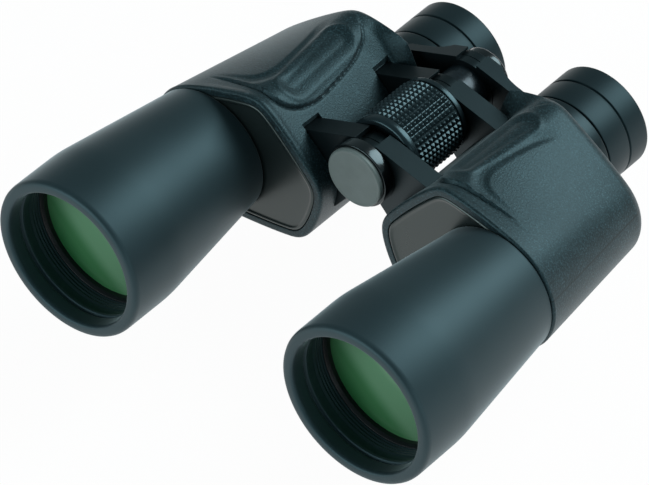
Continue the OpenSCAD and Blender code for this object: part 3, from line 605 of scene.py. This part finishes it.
armour = {
    "columns": 520,
    "rowStep": 0.45,      # mm between rows
    # the front lip, from inside to outside, as y behind the seam and inset
    "lip": [(2.4, housing["wall"]), (2.4, housing["lipInset"]), (0.4, housing["lipInset"]),
            (0.12, housing["lipInset"] - 0.1), (0, housing["lipInset"] - 0.4),
            (0, housing["lipInset"] - 0.6), (0, 1.25), (0, 1.1), (0.05, 0.8), (0.2, 0.45),
            (0.5, 0.2), (0.9, 0.06)],
    "skin": 1.3,          # y behind the seam where the skin begins
    # the rounded rear: rows, power of its curve, inset, and what its outer side has more
    "rounding": (14, 1.7, 1.5, 2.2),
    # from the rear face to the inside, as y behind that face, inset and the outer side's extra
    "back": [(0, 1.7, 2.25), (0, 4.3, 3.2), (-0.08, 4.52, 3.2), (-0.3, 4.6, 3.2),
             (-2.4, 4.6, 3.2), (-2.4, housing["wall"] + 1, 3),
             (-housing["tail"], housing["wall"], 0)],
}


def armourPiece(side, name):
    # Rows run from inside the front lip over the skin and round the rear end to its inside,
    # columns go round. The skin is then pushed in along its normals by the pad's carving.
    tail, columns = housing["tail"], armour["columns"]
    rows = int((rearY - seamY - tail - armour["skin"]) / armour["rowStep"])
    skin = [(y, 0, 0) for y in np.linspace(seamY + armour["skin"], rearY - tail, rows)]
    roundRows, power, inset, extra = armour["rounding"]
    turn = np.sin(np.linspace(0, math.pi / 2, roundRows + 1)[1:])
    drop = 1 - np.sqrt(1 - turn**power)
    rear = [(rearY - tail + tail * t, inset * d, extra * d) for t, d in zip(turn, drop)]
    outside = sectionGrid(skin + rear, columns)
    x, y, z = outside[..., 0], outside[..., 1], outside[..., 2]
    along = np.gradient(outside, axis=0)
    around = np.roll(outside, -1, 1) - np.roll(outside, 1, 1)
    normal = np.cross(along, around)
    normal /= np.linalg.norm(normal, axis=-1, keepdims=True) + 1e-12
    outwards = np.stack([x - housing["middle"][0], 0 * x, z - housing["middle"][1]], -1)
    normal *= np.sign((normal * outwards).sum(-1, keepdims=True))
    (frontFrom, frontTo), (backFrom, backTo) = relief["front"], relief["back"]
    share = softStep(z, *relief["upper"]) * softStep(y, seamY + frontFrom, seamY + frontTo)
    share *= 1 - softStep(y, rearY - backFrom, rearY - backTo)
    outside = outside - normal * (padRelief(outside) * share)[..., None]
    lip = [(seamY + y, inset, 0) for y, inset in armour["lip"]]
    back = [(rearY + y, inset, extra) for y, inset, extra in armour["back"]]
    points = np.concatenate([sectionGrid(lip, columns, at=seamY), outside,
                             sectionGrid(back, columns)])
    points[..., 0] *= side
    return gridPiece(name, points)


# the hinge arms in their notches, in millimetres about the hinge
arms = {
    "top": 13.4,          # z of an arm's upper side over the hinge
    "slope": math.tan(math.radians(18)),   # fall of that side outwards
    "gap": 4.5,           # x where the notch begins
    "reach": 30.0,        # x where the arm ends
    "wall": 28.6,         # x outwards of which the skin closes over the arm's end
    "low": -12,           # z of the web's lower corner at the gap
    "web": (17, 3),       # that of its outer corner, inwards of and under the eyepiece axis
    "play": 0.3,
}
armSpans = [spanOf("right_front_hinge_arm"), spanOf("right_rear_hinge_arm")]


def notchOutline(side):
    # room for an arm with its web in the armour as x and z, open far over the top
    play, gap, reach, wall = arms["play"], arms["gap"], arms["reach"], arms["wall"]
    top, slope = arms["top"], arms["slope"]
    webX, webZ = eyepieceAxis[0] - arms["web"][0], eyepieceAxis[1] - arms["web"][1]
    points = [(gap - play, top - slope * gap + play + 30), (wall, 40),
              (wall, top - slope * wall + play), (reach + play, top - slope * reach + play),
              (reach + play, webZ - play), (webX, webZ - play), (gap - play, arms["low"] - play)]
    return [(x * side, z) for x, z in points]


def notchCutter(side, span):
    outline = notchOutline(side)
    n = len(outline)
    depth = (span[0] - arms["play"], span[1] + arms["play"])
    points = np.array([[x, y, z] for y in depth for x, z in outline])
    faces = [tuple(range(n)), tuple(range(2 * n - 1, n - 1, -1))]
    faces += [((i + 1) % n, i, n + i, n + (i + 1) % n) for i in range(n)]
    mesh = bpy.data.meshes.new("cutter")
    mesh.from_pydata(points / 1000 + origin, [], faces)
    return tidyPiece("cutter", mesh)


def boreCutter(side):
    # the hole for the eyepiece through the rear of a housing
    radius, depth = 12.3, 5
    profile = [(0, rearY - depth, 0), (radius, rearY - depth, 0), (radius, rearY + depth, 0),
               (0, rearY + depth, 0)]
    return turnedPiece("cutter", mirroredAxis(eyepieceAxis, side), profile, closed=False,
                       columns=96, steps=1)


frontPlate = {
    "columns": 260,
    "seat": 20.3,         # radius of the hole for the barrel
    "inset": 3.35,        # of the plate's edge in the section
    # rows from the seat to the edge: share of that way, inset of the edge, y behind the seam;
    # the last ones make a raised bead just inside the edge, and the rounded rim
    "rows": [(0, 0, 2.5), (0, 0, 0.35), (0.2, 0, 0.35), (0.4, 0, 0.35), (0.6, 0, 0.35),
             (0.8, 0, 0.35), (1, 2.2, 0.35), (1, 1.7, 0.3), (1, 1.35, 0.05), (1, 1.0, -0.12),
             (1, 0.65, -0.08), (1, 0.35, 0.05), (1, 0.15, 0.2), (1, 0.05, 0.4), (1, 0, 0.7),
             (1, 0, 2.5)],
}


def coverPiece(side, name):
    # front plate: each row lies a share of the way from the barrel's seat to the section's edge
    share, inset, depth = (column[:, None] for column in np.array(frontPlate["rows"], float).T)
    edge = sectionGrid([(seamY, frontPlate["inset"] + step, 0) for step in inset[:, 0]],
                       frontPlate["columns"])
    edgeX, edgeZ = edge[..., 0], edge[..., 2]
    toward = np.arctan2(edgeZ - objectiveAxis[1], edgeX - objectiveAxis[0])
    seatX = objectiveAxis[0] + frontPlate["seat"] * np.cos(toward)
    seatZ = objectiveAxis[1] + frontPlate["seat"] * np.sin(toward)
    x, z = seatX + (edgeX - seatX) * share, seatZ + (edgeZ - seatZ) * share
    return gridPiece(name, np.stack([x * side, np.broadcast_to(seamY + depth, x.shape), z], -1))


rearPlate = {
    "columns": 220,
    "inset": (4.75, 3.2),     # of the plate's edge in the section, and its outer side's extra
    "middle": (-12, 1),       # x and z of its middle line about the objective axis
    # rows from its inner side to the middle line: inset of the edge, y behind the rear face,
    # and how far it is drawn to the middle
    "rows": [(0, -2.4, 0), (0, -0.35, 0), (0.1, -0.12, 0), (0.3, -0.02, 0), (0.6, 0, 0),
             (8, 0, 1), (8, -2.4, 1)],
}


def rearCoverPiece(side, name):
    # rear plate: rows run from its inner side over a rounded edge to one middle line
    inset, depth, pull = (column[:, None] for column in np.array(rearPlate["rows"], float).T)
    first, extra = rearPlate["inset"]
    edge = sectionGrid([(rearY, first + step, extra) for step in inset[:, 0]],
                       rearPlate["columns"])
    x, z = edge[..., 0], edge[..., 2]
    middle = (objectiveAxis[0] + rearPlate["middle"][0], objectiveAxis[1] + rearPlate["middle"][1])
    x, z = x + (middle[0] - x) * pull, z + (middle[1] - z) * pull
    return gridPiece(name, np.stack([x * side, np.broadcast_to(rearY + depth, x.shape), z], -1))


barrel = {
    "columns": 220,
    "outer": 31.8,        # radius of the hood
    "hood": 24.0,         # its length
    "base": 24.8,         # radius at the seam
    "glass": 27.0,        # radius of the front glass
    "dome": 1.6,          # how far the glass stands out in its middle
    # teeth of the thread in front of the glass: how many, first y, mm apart, their radii.
    # They are drawn 1.3 mm apart so that they show.
    "thread": {"teeth": 4, "from": 18.2, "pitch": 1.3, "outer": 28.2, "inner": 27.95},
}


def barrelPiece(side, name):
    # Outside: a straight hood, then a straight taper to the seam. Inside: a rounded lip, a
    # snap ring, a threaded stretch and the seat of the glass.
    outer, hood, base, glass = (barrel[key] for key in ("outer", "hood", "base", "glass"))
    profile = [(glass, 1.3, 0.5), (glass + 0.5, 0.0, 0.9), (outer, 0.0, 2.5), (outer, hood, 4),
               (base + 0.1, seamY - 0.7, 0.3), (base - 0.3, seamY - 0.25, 0.2),
               (20.4, seamY - 0.2, 0), (20.15, seamY + 3.9, 0.2), (18.3, seamY + 3.9, 0.2),
               (18.3, seamY - 4, 0), (23.2, 35, 0), (25.8, 31, 0), (25.8, 28.5, 0),
               (glass + 0.02, 28.5, 0), (glass + 0.02, 20, 0), (28.2, 19, 0.1)]
    thread = barrel["thread"]
    for tooth in range(thread["teeth"]):
        y = thread["from"] - tooth * thread["pitch"]
        profile += [(thread["outer"], y, 0.08), (thread["inner"], y - thread["pitch"] / 2, 0.08)]
    profile += [(28.25, 12.6, 0.15), (28.2, 9.6, 0.2), (27.25, 9.1, 0.15), (27.25, 8.1, 0.15),
                (28.2, 7.6, 0.2), (28.2, 6.6, 0.2), (glass, 6.1, 0.4)]
    return turnedPiece(name, mirroredAxis(objectiveAxis, side), profile,
                       columns=barrel["columns"])


def lensPiece(side, name):
    # front face of the crown glass, a shallow dome: y = edge - rise (1 - (r / R)^2)
    glass, rise = barrel["glass"], barrel["dome"]
    edge, outer = spanOf("right_crown_lens")[0] + rise, glass - 0.05
    profile = [(r, edge - rise * (1 - (r / glass) ** 2), 0) for r in np.linspace(0, outer, 24)]
    profile += [(outer, edge + 1.9, 0), (0, edge + 4.4, 0)]
    return turnedPiece(name, mirroredAxis(objectiveAxis, side), profile, closed=False, steps=1)


def lensRingPiece(side, name):
    front = spanOf("right_lens_ring")[0]
    profile = [(28.0, front + 0.1, 0.15), (27.5, front, 0.1), (26.85, front + 1.4, 0.15),
               (26.8, front + 4.05, 0), (26.95, front + 4.2, 0), (26.95, front + 2.4, 0),
               (28.0, front + 1.2, 0)]
    return turnedPiece(name, mirroredAxis(objectiveAxis, side), profile, columns=180)


for side, half in ((1, "right"), (-1, "left")):
    body = half + "_half"
    shell = armourPiece(side, half + "ArmourSkin")
    cutPiece(shell, [notchCutter(side, span) for span in armSpans] + [boreCutter(side)])
    finishPiece(shell, body, "armour", [half + "_armour"])
    finishPiece(coverPiece(side, half + "FrontPlate"), body, "cover",
                [half + "_front_cover"])
    plate = rearCoverPiece(side, half + "RearPlate")
    cutPiece(plate, [boreCutter(side)])
    finishPiece(plate, body, "cover", [half + "_rear_cover"])
    finishPiece(barrelPiece(side, half + "BarrelSkin"), body, "barrel",
                [half + "_objective_barrel"])
    finishPiece(lensPiece(side, half + "FrontGlass"), body, half + "Lens",
                [half + "_crown_lens"])
    finishPiece(lensRingPiece(side, half + "GlassRing"), body, "black",
                [half + "_lens_ring"])
print("housings and barrels made")

# metres within which points of a copied node merge, degrees up to which its faces are one and
# from which an edge is rounded, and the rounding of the arms and of the bridge in millimetres
dressing = {"merge": 1e-6, "flat": 1.0, "edge": 40, "arm": 0.35, "bridge": 0.4}


def dressedCopy(node, name, bevel):
    # a copy of a CAD node with its flat faces joined and its edges rounded
    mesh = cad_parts[node].data.copy()
    mesh.name = name
    work = bmesh.new()
    work.from_mesh(mesh)
    bmesh.ops.remove_doubles(work, verts=work.verts, dist=dressing["merge"])
    bmesh.ops.dissolve_limit(work, angle_limit=math.radians(dressing["flat"]),
                             verts=work.verts, edges=work.edges)
    work.to_mesh(mesh)
    work.free()
    piece = linked(name, mesh)
    mesh.shade_smooth()
    rounding = piece.modifiers.new("rounding", "BEVEL")
    rounding.width, rounding.segments = bevel / 1000, 2
    rounding.limit_method, rounding.angle_limit = "ANGLE", math.radians(dressing["edge"])
    # flat faces keep their own normals, and only the rounding shades round
    even = piece.modifiers.new("even", "WEIGHTED_NORMAL")
    even.weight = 100
    applyModifiers(piece)
    return piece


for half in ("right", "left"):
    for place in ("front", "rear"):
        node = half + "_" + place + "_hinge_arm"
        finishPiece(dressedCopy(node, half + place.capitalize() + "Arm", dressing["arm"]),
                    half + "_half", "casting", [node])
for half, body in (("right", "bridge"), ("left", "left_eyepiece")):
    node = "bridge_" + half + "_arm"
    finishPiece(dressedCopy(node, half + "BridgeArm", dressing["bridge"]), body, "bridge",
                [node])
print("castings and bridge made")

wheel = {
    "radius": 15.3,           # over the knurl's teeth
    "shoulder": 0.2,          # how far the plain bands lie under that
    "depth": 0.85,            # of the teeth
    "columns": 42, "rows": 11,     # teeth round and along
    "grid": 8,                # faces across one tooth
    "steep": 1.25,            # slope of a tooth's sides, over 1 so that its top is flat
    "phase": 79.7,            # degrees of the first column of teeth
    "band": 3.6, "rearBand": 3.0,  # length of the plain bands
    "bore": 4.05, "mouth": 12.45,  # radii of the bore and of the recess in front
    "back": 9.9, "hub": 6.6,       # and of the recess behind and of the hub's bore
    "sharp": 24,              # degrees from which its edges shade as sharp
}


def wheelPiece(name):
    # Rows run along the wheel and back through its bore. On the knurled part the radius is
    # root + depth x pyramid(u, v), with u round and v along one tooth.
    front, rear = spanOf("focus_wheel")
    knurlFront, knurlRear = front + wheel["band"], rear - wheel["rearBand"]
    grid, count = wheel["grid"], wheel["columns"] * wheel["grid"]
    column = (np.arange(count) + 0.5) / grid
    along = np.arange(wheel["rows"] * grid + 1) / grid
    u, v = (np.abs(across % 1 - 0.5) * 2 for across in (column, along))
    tooth = np.clip((1.0 - np.maximum(u[None, :], v[:, None])) * wheel["steep"], 0, 1)
    root, body = wheel["radius"] - wheel["depth"], wheel["radius"] - wheel["shoulder"]
    knurl = root + wheel["depth"] * tooth
    knurlY = knurlFront + (knurlRear - knurlFront) * along / wheel["rows"]
    bore, mouth, back, hub = (wheel[key] for key in ("bore", "mouth", "back", "hub"))
    before = roundedPath([(bore, front + 2.0, 0), (mouth, front + 2.0, 0.3), (mouth, front, 0.4),
                          (body - 0.9, front, 0.5), (body, front + 1.0, 0.7),
                          (body, knurlFront - 0.3, 0.25),
                          (root - 0.25, knurlFront - 0.15, 0.1)], 4, False)
    after = roundedPath([(root - 0.3, knurlRear + 0.1, 0.1), (root - 0.3, knurlRear + 0.55, 0.1),
                         (body - 0.3, knurlRear + 0.65, 0.2), (body - 0.3, rear - 0.4, 0.3),
                         (body - 1.2, rear, 0.4), (back, rear, 0.3), (back, rear - 4.5, 0),
                         (hub, rear - 4.5, 0), (hub, front + 8, 0), (bore, front + 8, 0)],
                        4, False)
    radius = np.concatenate([np.repeat(before[:, :1], count, 1), knurl,
                             np.repeat(after[:, :1], count, 1)])
    angle = math.radians(wheel["phase"]) - column / wheel["columns"] * 2 * math.pi
    points = np.empty((*radius.shape, 3))
    points[..., 0] = radius * np.cos(angle)
    points[..., 1] = np.concatenate([before[:, 1], knurlY, after[:, 1]])[:, None]
    points[..., 2] = radius * np.sin(angle)
    return gridPiece(name, points, sharp=wheel["sharp"])


finishPiece(wheelPiece("knurledWheel"), "wheel", "wheel", ["focus_wheel"])

# radii of the hinge's nose, of its mouth and bore, and of the grey cap, its neck in the mouth
# and the neck's inside
nose = {"outer": 12.7, "mouth": 8.65, "bore": 6.02, "cap": 11.7, "neck": 8.6, "inside": 7.0}


def nosePieces():
    outer, mouth, bore, cap, neck, inside = nose.values()
    front, rear = spanOf("hinge_nose")
    piece = turnedPiece("hingeNose", hingeAxis,
                        [(mouth, front, 0.1), (outer, front, 0.5), (outer, rear, 0.3),
                         (bore, rear, 0), (bore, front + 1.4, 0), (mouth, front + 1.4, 0)],
                        columns=140)
    finishPiece(piece, "right_half", "nose", ["hinge_nose"])
    # the cap's face lies a little deeper than its rim
    front = spanOf("front_cap")[0]
    piece = turnedPiece("greyCap", hingeAxis,
                        [(0, front + 0.12, 0), (10.5, front + 0.1, 0.4), (10.9, front, 0.2),
                         (11.25, front, 0.2), (cap, front + 0.35, 0.2), (cap, front + 2.0, 0.2),
                         (neck, front + 2.0, 0), (neck, front + 3.2, 0.2),
                         (inside, front + 3.2, 0.2), (inside, front + 1.2, 0),
                         (0, front + 1.2, 0)], closed=False, columns=140)
    finishPiece(piece, "cap", "cap", ["front_cap"])


nosePieces()

# radii of the focusing stem in front of its collar and behind it, of its bore and its collar,
# and of the cap that ends the bridge
stem = {"front": 6.5, "rear": 7.0, "bore": 4.05, "collar": 9.5, "end": 10.2}


def stemPieces():
    # the collar fills the gap between the wheel and the bridge
    thin, thick, bore, collar, end = stem.values()
    front, rear = spanOf("focus_stem")
    collarFront, collarRear = spanOf("focus_wheel")[1], spanOf("bridge_right_arm")[0]
    piece = turnedPiece("focusStem", hingeAxis,
                        [(bore, front, 0.2), (thin, front, 0.3), (thin, collarFront, 0),
                         (collar, collarFront, 0.3), (collar, collarRear, 0.2),
                         (thick, collarRear, 0), (thick, rear, 0.3), (bore, rear, 0.2)],
                        columns=120)
    finishPiece(piece, "bridge", "stem", ["focus_stem"])
    front, rear = spanOf("bridge_end_cap")
    inside = thick + 0.02
    piece = turnedPiece("bridgeEndCap", hingeAxis,
                        [(0, front + 2.2, 0), (inside, front + 2.2, 0), (inside, front, 0),
                         (end, front, 0.3), (end, rear - 0.6, 0.7), (8.9, rear, 0.5),
                         (0, rear - 0.25, 0)], closed=False, columns=120)
    finishPiece(piece, "bridge", "nose", ["bridge_end_cap"])


stemPieces()
print("wheel, nose and stem made")

eyepiece = {
    "radius": 20.4,       # of the cup and of the ring in front of it
    "groove": 10.9,       # where the cup's groove begins behind its front
    "eyeGlass": 11.0,     # radius of the glass
    "dome": 1.6,          # how far its middle stands out
    "bridge": 4.0,        # thickness of the bridge's arm
    # the two that differ: the gap between the arm and the tube's wide part, the bore round the
    # tube, the node of the ring, and the bodies that ring and cup, and tube and glass, ride on
    "right": {"gap": 1.3, "bore": 15.45, "ring": "diopter_ring", "cupBody": "diopter",
              "tubeBody": "right_eyepiece"},
    "left": {"gap": 0.05, "bore": 15.42, "ring": "left_eyepiece_collar",
             "cupBody": "left_eyepiece", "tubeBody": "left_eyepiece"},
}


def cupProfile(half):
    # a rubber cup with one groove round it and a lip that rolls inwards at the rear
    front, rear = spanOf(half + "_eyecup")
    big, bore, groove = eyepiece["radius"], eyepiece[half]["bore"], front + eyepiece["groove"]
    return [(bore, front, 0.1), (big - 0.1, front, 0.45), (big, groove, 0.25),
            (big - 0.65, groove + 0.3, 0.1), (big - 0.65, groove + 0.8, 0.1),
            (big, groove + 1.1, 0.25), (big, rear - 1.0, 0), (big, rear, 1.1),
            (big - 4.4, rear, 0.9), (big - 5.1, rear - 1.6, 0.8), (15.25, rear - 3.2, 0.5),
            (bore, rear - 5, 0.5)]


def ringProfile(half):
    front, rear = spanOf(eyepiece[half]["ring"])
    big, bore = eyepiece["radius"], eyepiece[half]["bore"]
    return [(bore, front, 0.1), (big, front, 0.5), (big, rear, 0.5), (bore, rear, 0.1)]


def tubeProfile(half):
    # outside: a thin front end, the wide part up to the ring, and the stem that the cup slides
    # on; inside: the seats of the eye lens at the rear and of the field lens in front
    front, rear = spanOf(half + "_eyepiece_barrel")
    ring = spanOf(eyepiece[half]["ring"])[0] - 0.3
    wide = spanOf("bridge_right_arm")[0] + eyepiece["bridge"] + eyepiece[half]["gap"]
    return [(10.6, front, 0.1), (12.0, front, 0.2), (12.0, wide, 0), (17.6, wide, 0.4),
            (17.6, ring, 0.2), (15.4, ring, 0), (15.4, rear - 0.6, 0.5), (14.6, rear, 0.3),
            (12.6, rear, 0.1), (12.6, rear - 1.8, 0), (11.02, rear - 1.8, 0),
            (11.02, rear - 8, 0), (9.8, rear - 8, 0), (9.8, rear - 10, 0), (10.6, rear - 14, 0),
            (10.6, front + 10.4, 0), (8.8, front + 9.4, 0), (8.8, front + 8, 0),
            (9.82, front + 8, 0), (9.82, front + 1, 0), (10.6, front + 1, 0)]


def glassProfile(half):
    # the rear face is a shallow dome: y = middle - rise (r / R)^2
    front, rear = spanOf(half + "_eye_lens")
    radius, rise = eyepiece["eyeGlass"], eyepiece["dome"]
    return [(0, front, 0), (radius, front, 0)] + [
        (r, rear - rise * (r / radius) ** 2, 0) for r in np.linspace(radius, 0, 16)]


def bezelProfile(half):
    front, rear = spanOf(half + "_bezel")
    return [(10.0, front, 0), (12.5, front, 0), (12.5, rear - 0.2, 0.2), (11.6, rear, 0.2),
            (10.0, front + 0.8, 0.2)]


for side, half in ((1, "right"), (-1, "left")):
    axis, own = mirroredAxis(eyepieceAxis, side), eyepiece[half]
    finishPiece(turnedPiece(half + "EyecupRubber", axis, cupProfile(half), columns=180),
                own["cupBody"], "rubber", [half + "_eyecup"])
    finishPiece(turnedPiece(half + "EyepieceRing", axis, ringProfile(half), columns=180),
                own["cupBody"], "ring", [own["ring"]])
    finishPiece(turnedPiece(half + "EyepieceTube", axis, tubeProfile(half), columns=140),
                own["tubeBody"], "black", [half + "_eyepiece_barrel"])
    finishPiece(turnedPiece(half + "EyeGlass", axis, glassProfile(half), closed=False,
                            columns=120, steps=1),
                own["tubeBody"], "eyeLens", [half + "_eye_lens"])
    finishPiece(turnedPiece(half + "EyeBezel", axis, bezelProfile(half), columns=120),
                own["tubeBody"], "black", [half + "_bezel"])
print("eyepieces made")

# CAD nodes inside the housings keep their meshes and get a finish
inside = {"prism_housing": "casting", "prism_shelf": "shelf", "prism_straps": "steel",
          "front_prism": "prism", "rear_prism": "prism", "field_lens": "eyeLens",
          "right_flint_lens": "rightLens", "left_flint_lens": "leftLens",
          "hinge_axle": "steel"}
for name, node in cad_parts.items():
    for ending, finish in inside.items():
        if name.endswith(ending):
            node.data.materials.clear()
            node.data.materials.append(finishes[finish])

floor = {
    "size": 6.0,          # metres
    "below": 24,          # mm under the rest height, clear of the left barrel folded right down
    "white": "#ffffff",
    "shadow": 0.03,       # share of its own shading that shows
}


def floorMaterial():
    # White paper: seen directly and in reflections it is plain white, less a share of its
    # own shading, which holds the soft shadow.
    made = bpy.data.materials.new("whitePaperFloor")
    tree = emptyTree(made)
    white = linear(floor["white"])
    paper = addNode(tree, "BsdfDiffuse", {"Color": white})
    plain = addNode(tree, "Emission", {"Color": white, "Strength": 1.0})
    path = addNode(tree, "LightPath")
    seen = addNode(tree, "Math", None, {0: path.outputs["Is Camera Ray"],
                                        1: path.outputs["Is Glossy Ray"]}, operation="MAXIMUM")
    seen = addNode(tree, "Math", None, {0: seen, 1: path.outputs["Is Transmission Ray"]},
                   operation="MAXIMUM")
    share = addNode(tree, "Math", {1: 1 - floor["shadow"]}, {0: seen}, operation="MULTIPLY")
    mix = addNode(tree, "MixShader", None, {0: share, 1: paper, 2: plain})
    addNode(tree, "OutputMaterial", None, {"Surface": mix})
    return made


def makeFloor():
    half, z = floor["size"] / 2, -floor["below"] / 1000
    mesh = bpy.data.meshes.new("floor")
    mesh.from_pydata([(-half, -half, z), (half, -half, z), (half, half, z), (-half, half, z)],
                     [], [(0, 1, 2, 3)])
    mesh.materials.append(floorMaterial())
    linked("floor", mesh)


makeFloor()

# soft boxes that look at one point: where they stand and their sizes in metres, power in watts
lamps = {
    "topBox": {"at": (0.4, 0.62, 0.72), "size": (0.6, 0.6), "power": 8.5},
    "sideFill": {"at": (0.9, -0.2, 0.15), "size": (0.5, 0.5), "power": 1.5},
    "frontFill": {"at": (-0.3, -1.0, 0.25), "size": (0.9, 0.5), "power": 6},
}
lampColour, lampTarget = "#e6f3f6", (0, 0, 0.03)


def softBox(name, at, size, power):
    # a lamp shines down its own -Z, so it tips up from straight down and then turns
    lamp = bpy.data.lights.new(name, "AREA")
    lamp.shape, lamp.size, lamp.size_y, lamp.energy = "RECTANGLE", size[0], size[1], power
    lamp.color = linear(lampColour)[:3]
    made = linked(name, lamp)
    x, y, z = np.array(lampTarget, float) - np.array(at, float)
    made.location = at
    made.rotation_euler = (math.atan2(math.hypot(x, y), -z), 0, math.atan2(x, -y) + math.pi)


for name, lamp in lamps.items():
    softBox(name, **lamp)

# a pale cool room lights the object, and the camera sees plain white behind it
room = {"colour": "#bfd8dd", "strength": 0.36, "behind": "#ffffff"}


def makeWorld():
    world = bpy.data.worlds.new("studio")
    bpy.context.scene.world = world
    tree = emptyTree(world)
    path = addNode(tree, "LightPath")
    walls = addNode(tree, "Background", {"Color": linear(room["colour"]),
                                         "Strength": room["strength"]})
    plain = addNode(tree, "Background", {"Color": linear(room["behind"]), "Strength": 1.0})
    mix = addNode(tree, "MixShader", None,
                  {0: path.outputs["Is Camera Ray"], 1: walls, 2: plain})
    addNode(tree, "OutputWorld", None, {"Surface": mix})


makeWorld()

# focal length and film width in mm, place and far limit in metres, turn in degrees
view = {"focal": 334.9, "film": 36.0, "far": 20, "at": (1.062707, -1.254916, 1.374604),
        "turn": (50.33312, 2.10862, 39.13819)}


def makeCamera():
    camera = bpy.data.cameras.new("camera")
    camera.lens, camera.sensor_width, camera.clip_end = view["focal"], view["film"], view["far"]
    made = linked("camera", camera)
    made.location = view["at"]
    made.rotation_euler = [math.radians(angle) for angle in view["turn"]]
    bpy.context.scene.camera = made


makeCamera()
bpy.context.scene.view_settings.view_transform = "Standard"

print("scene ready")
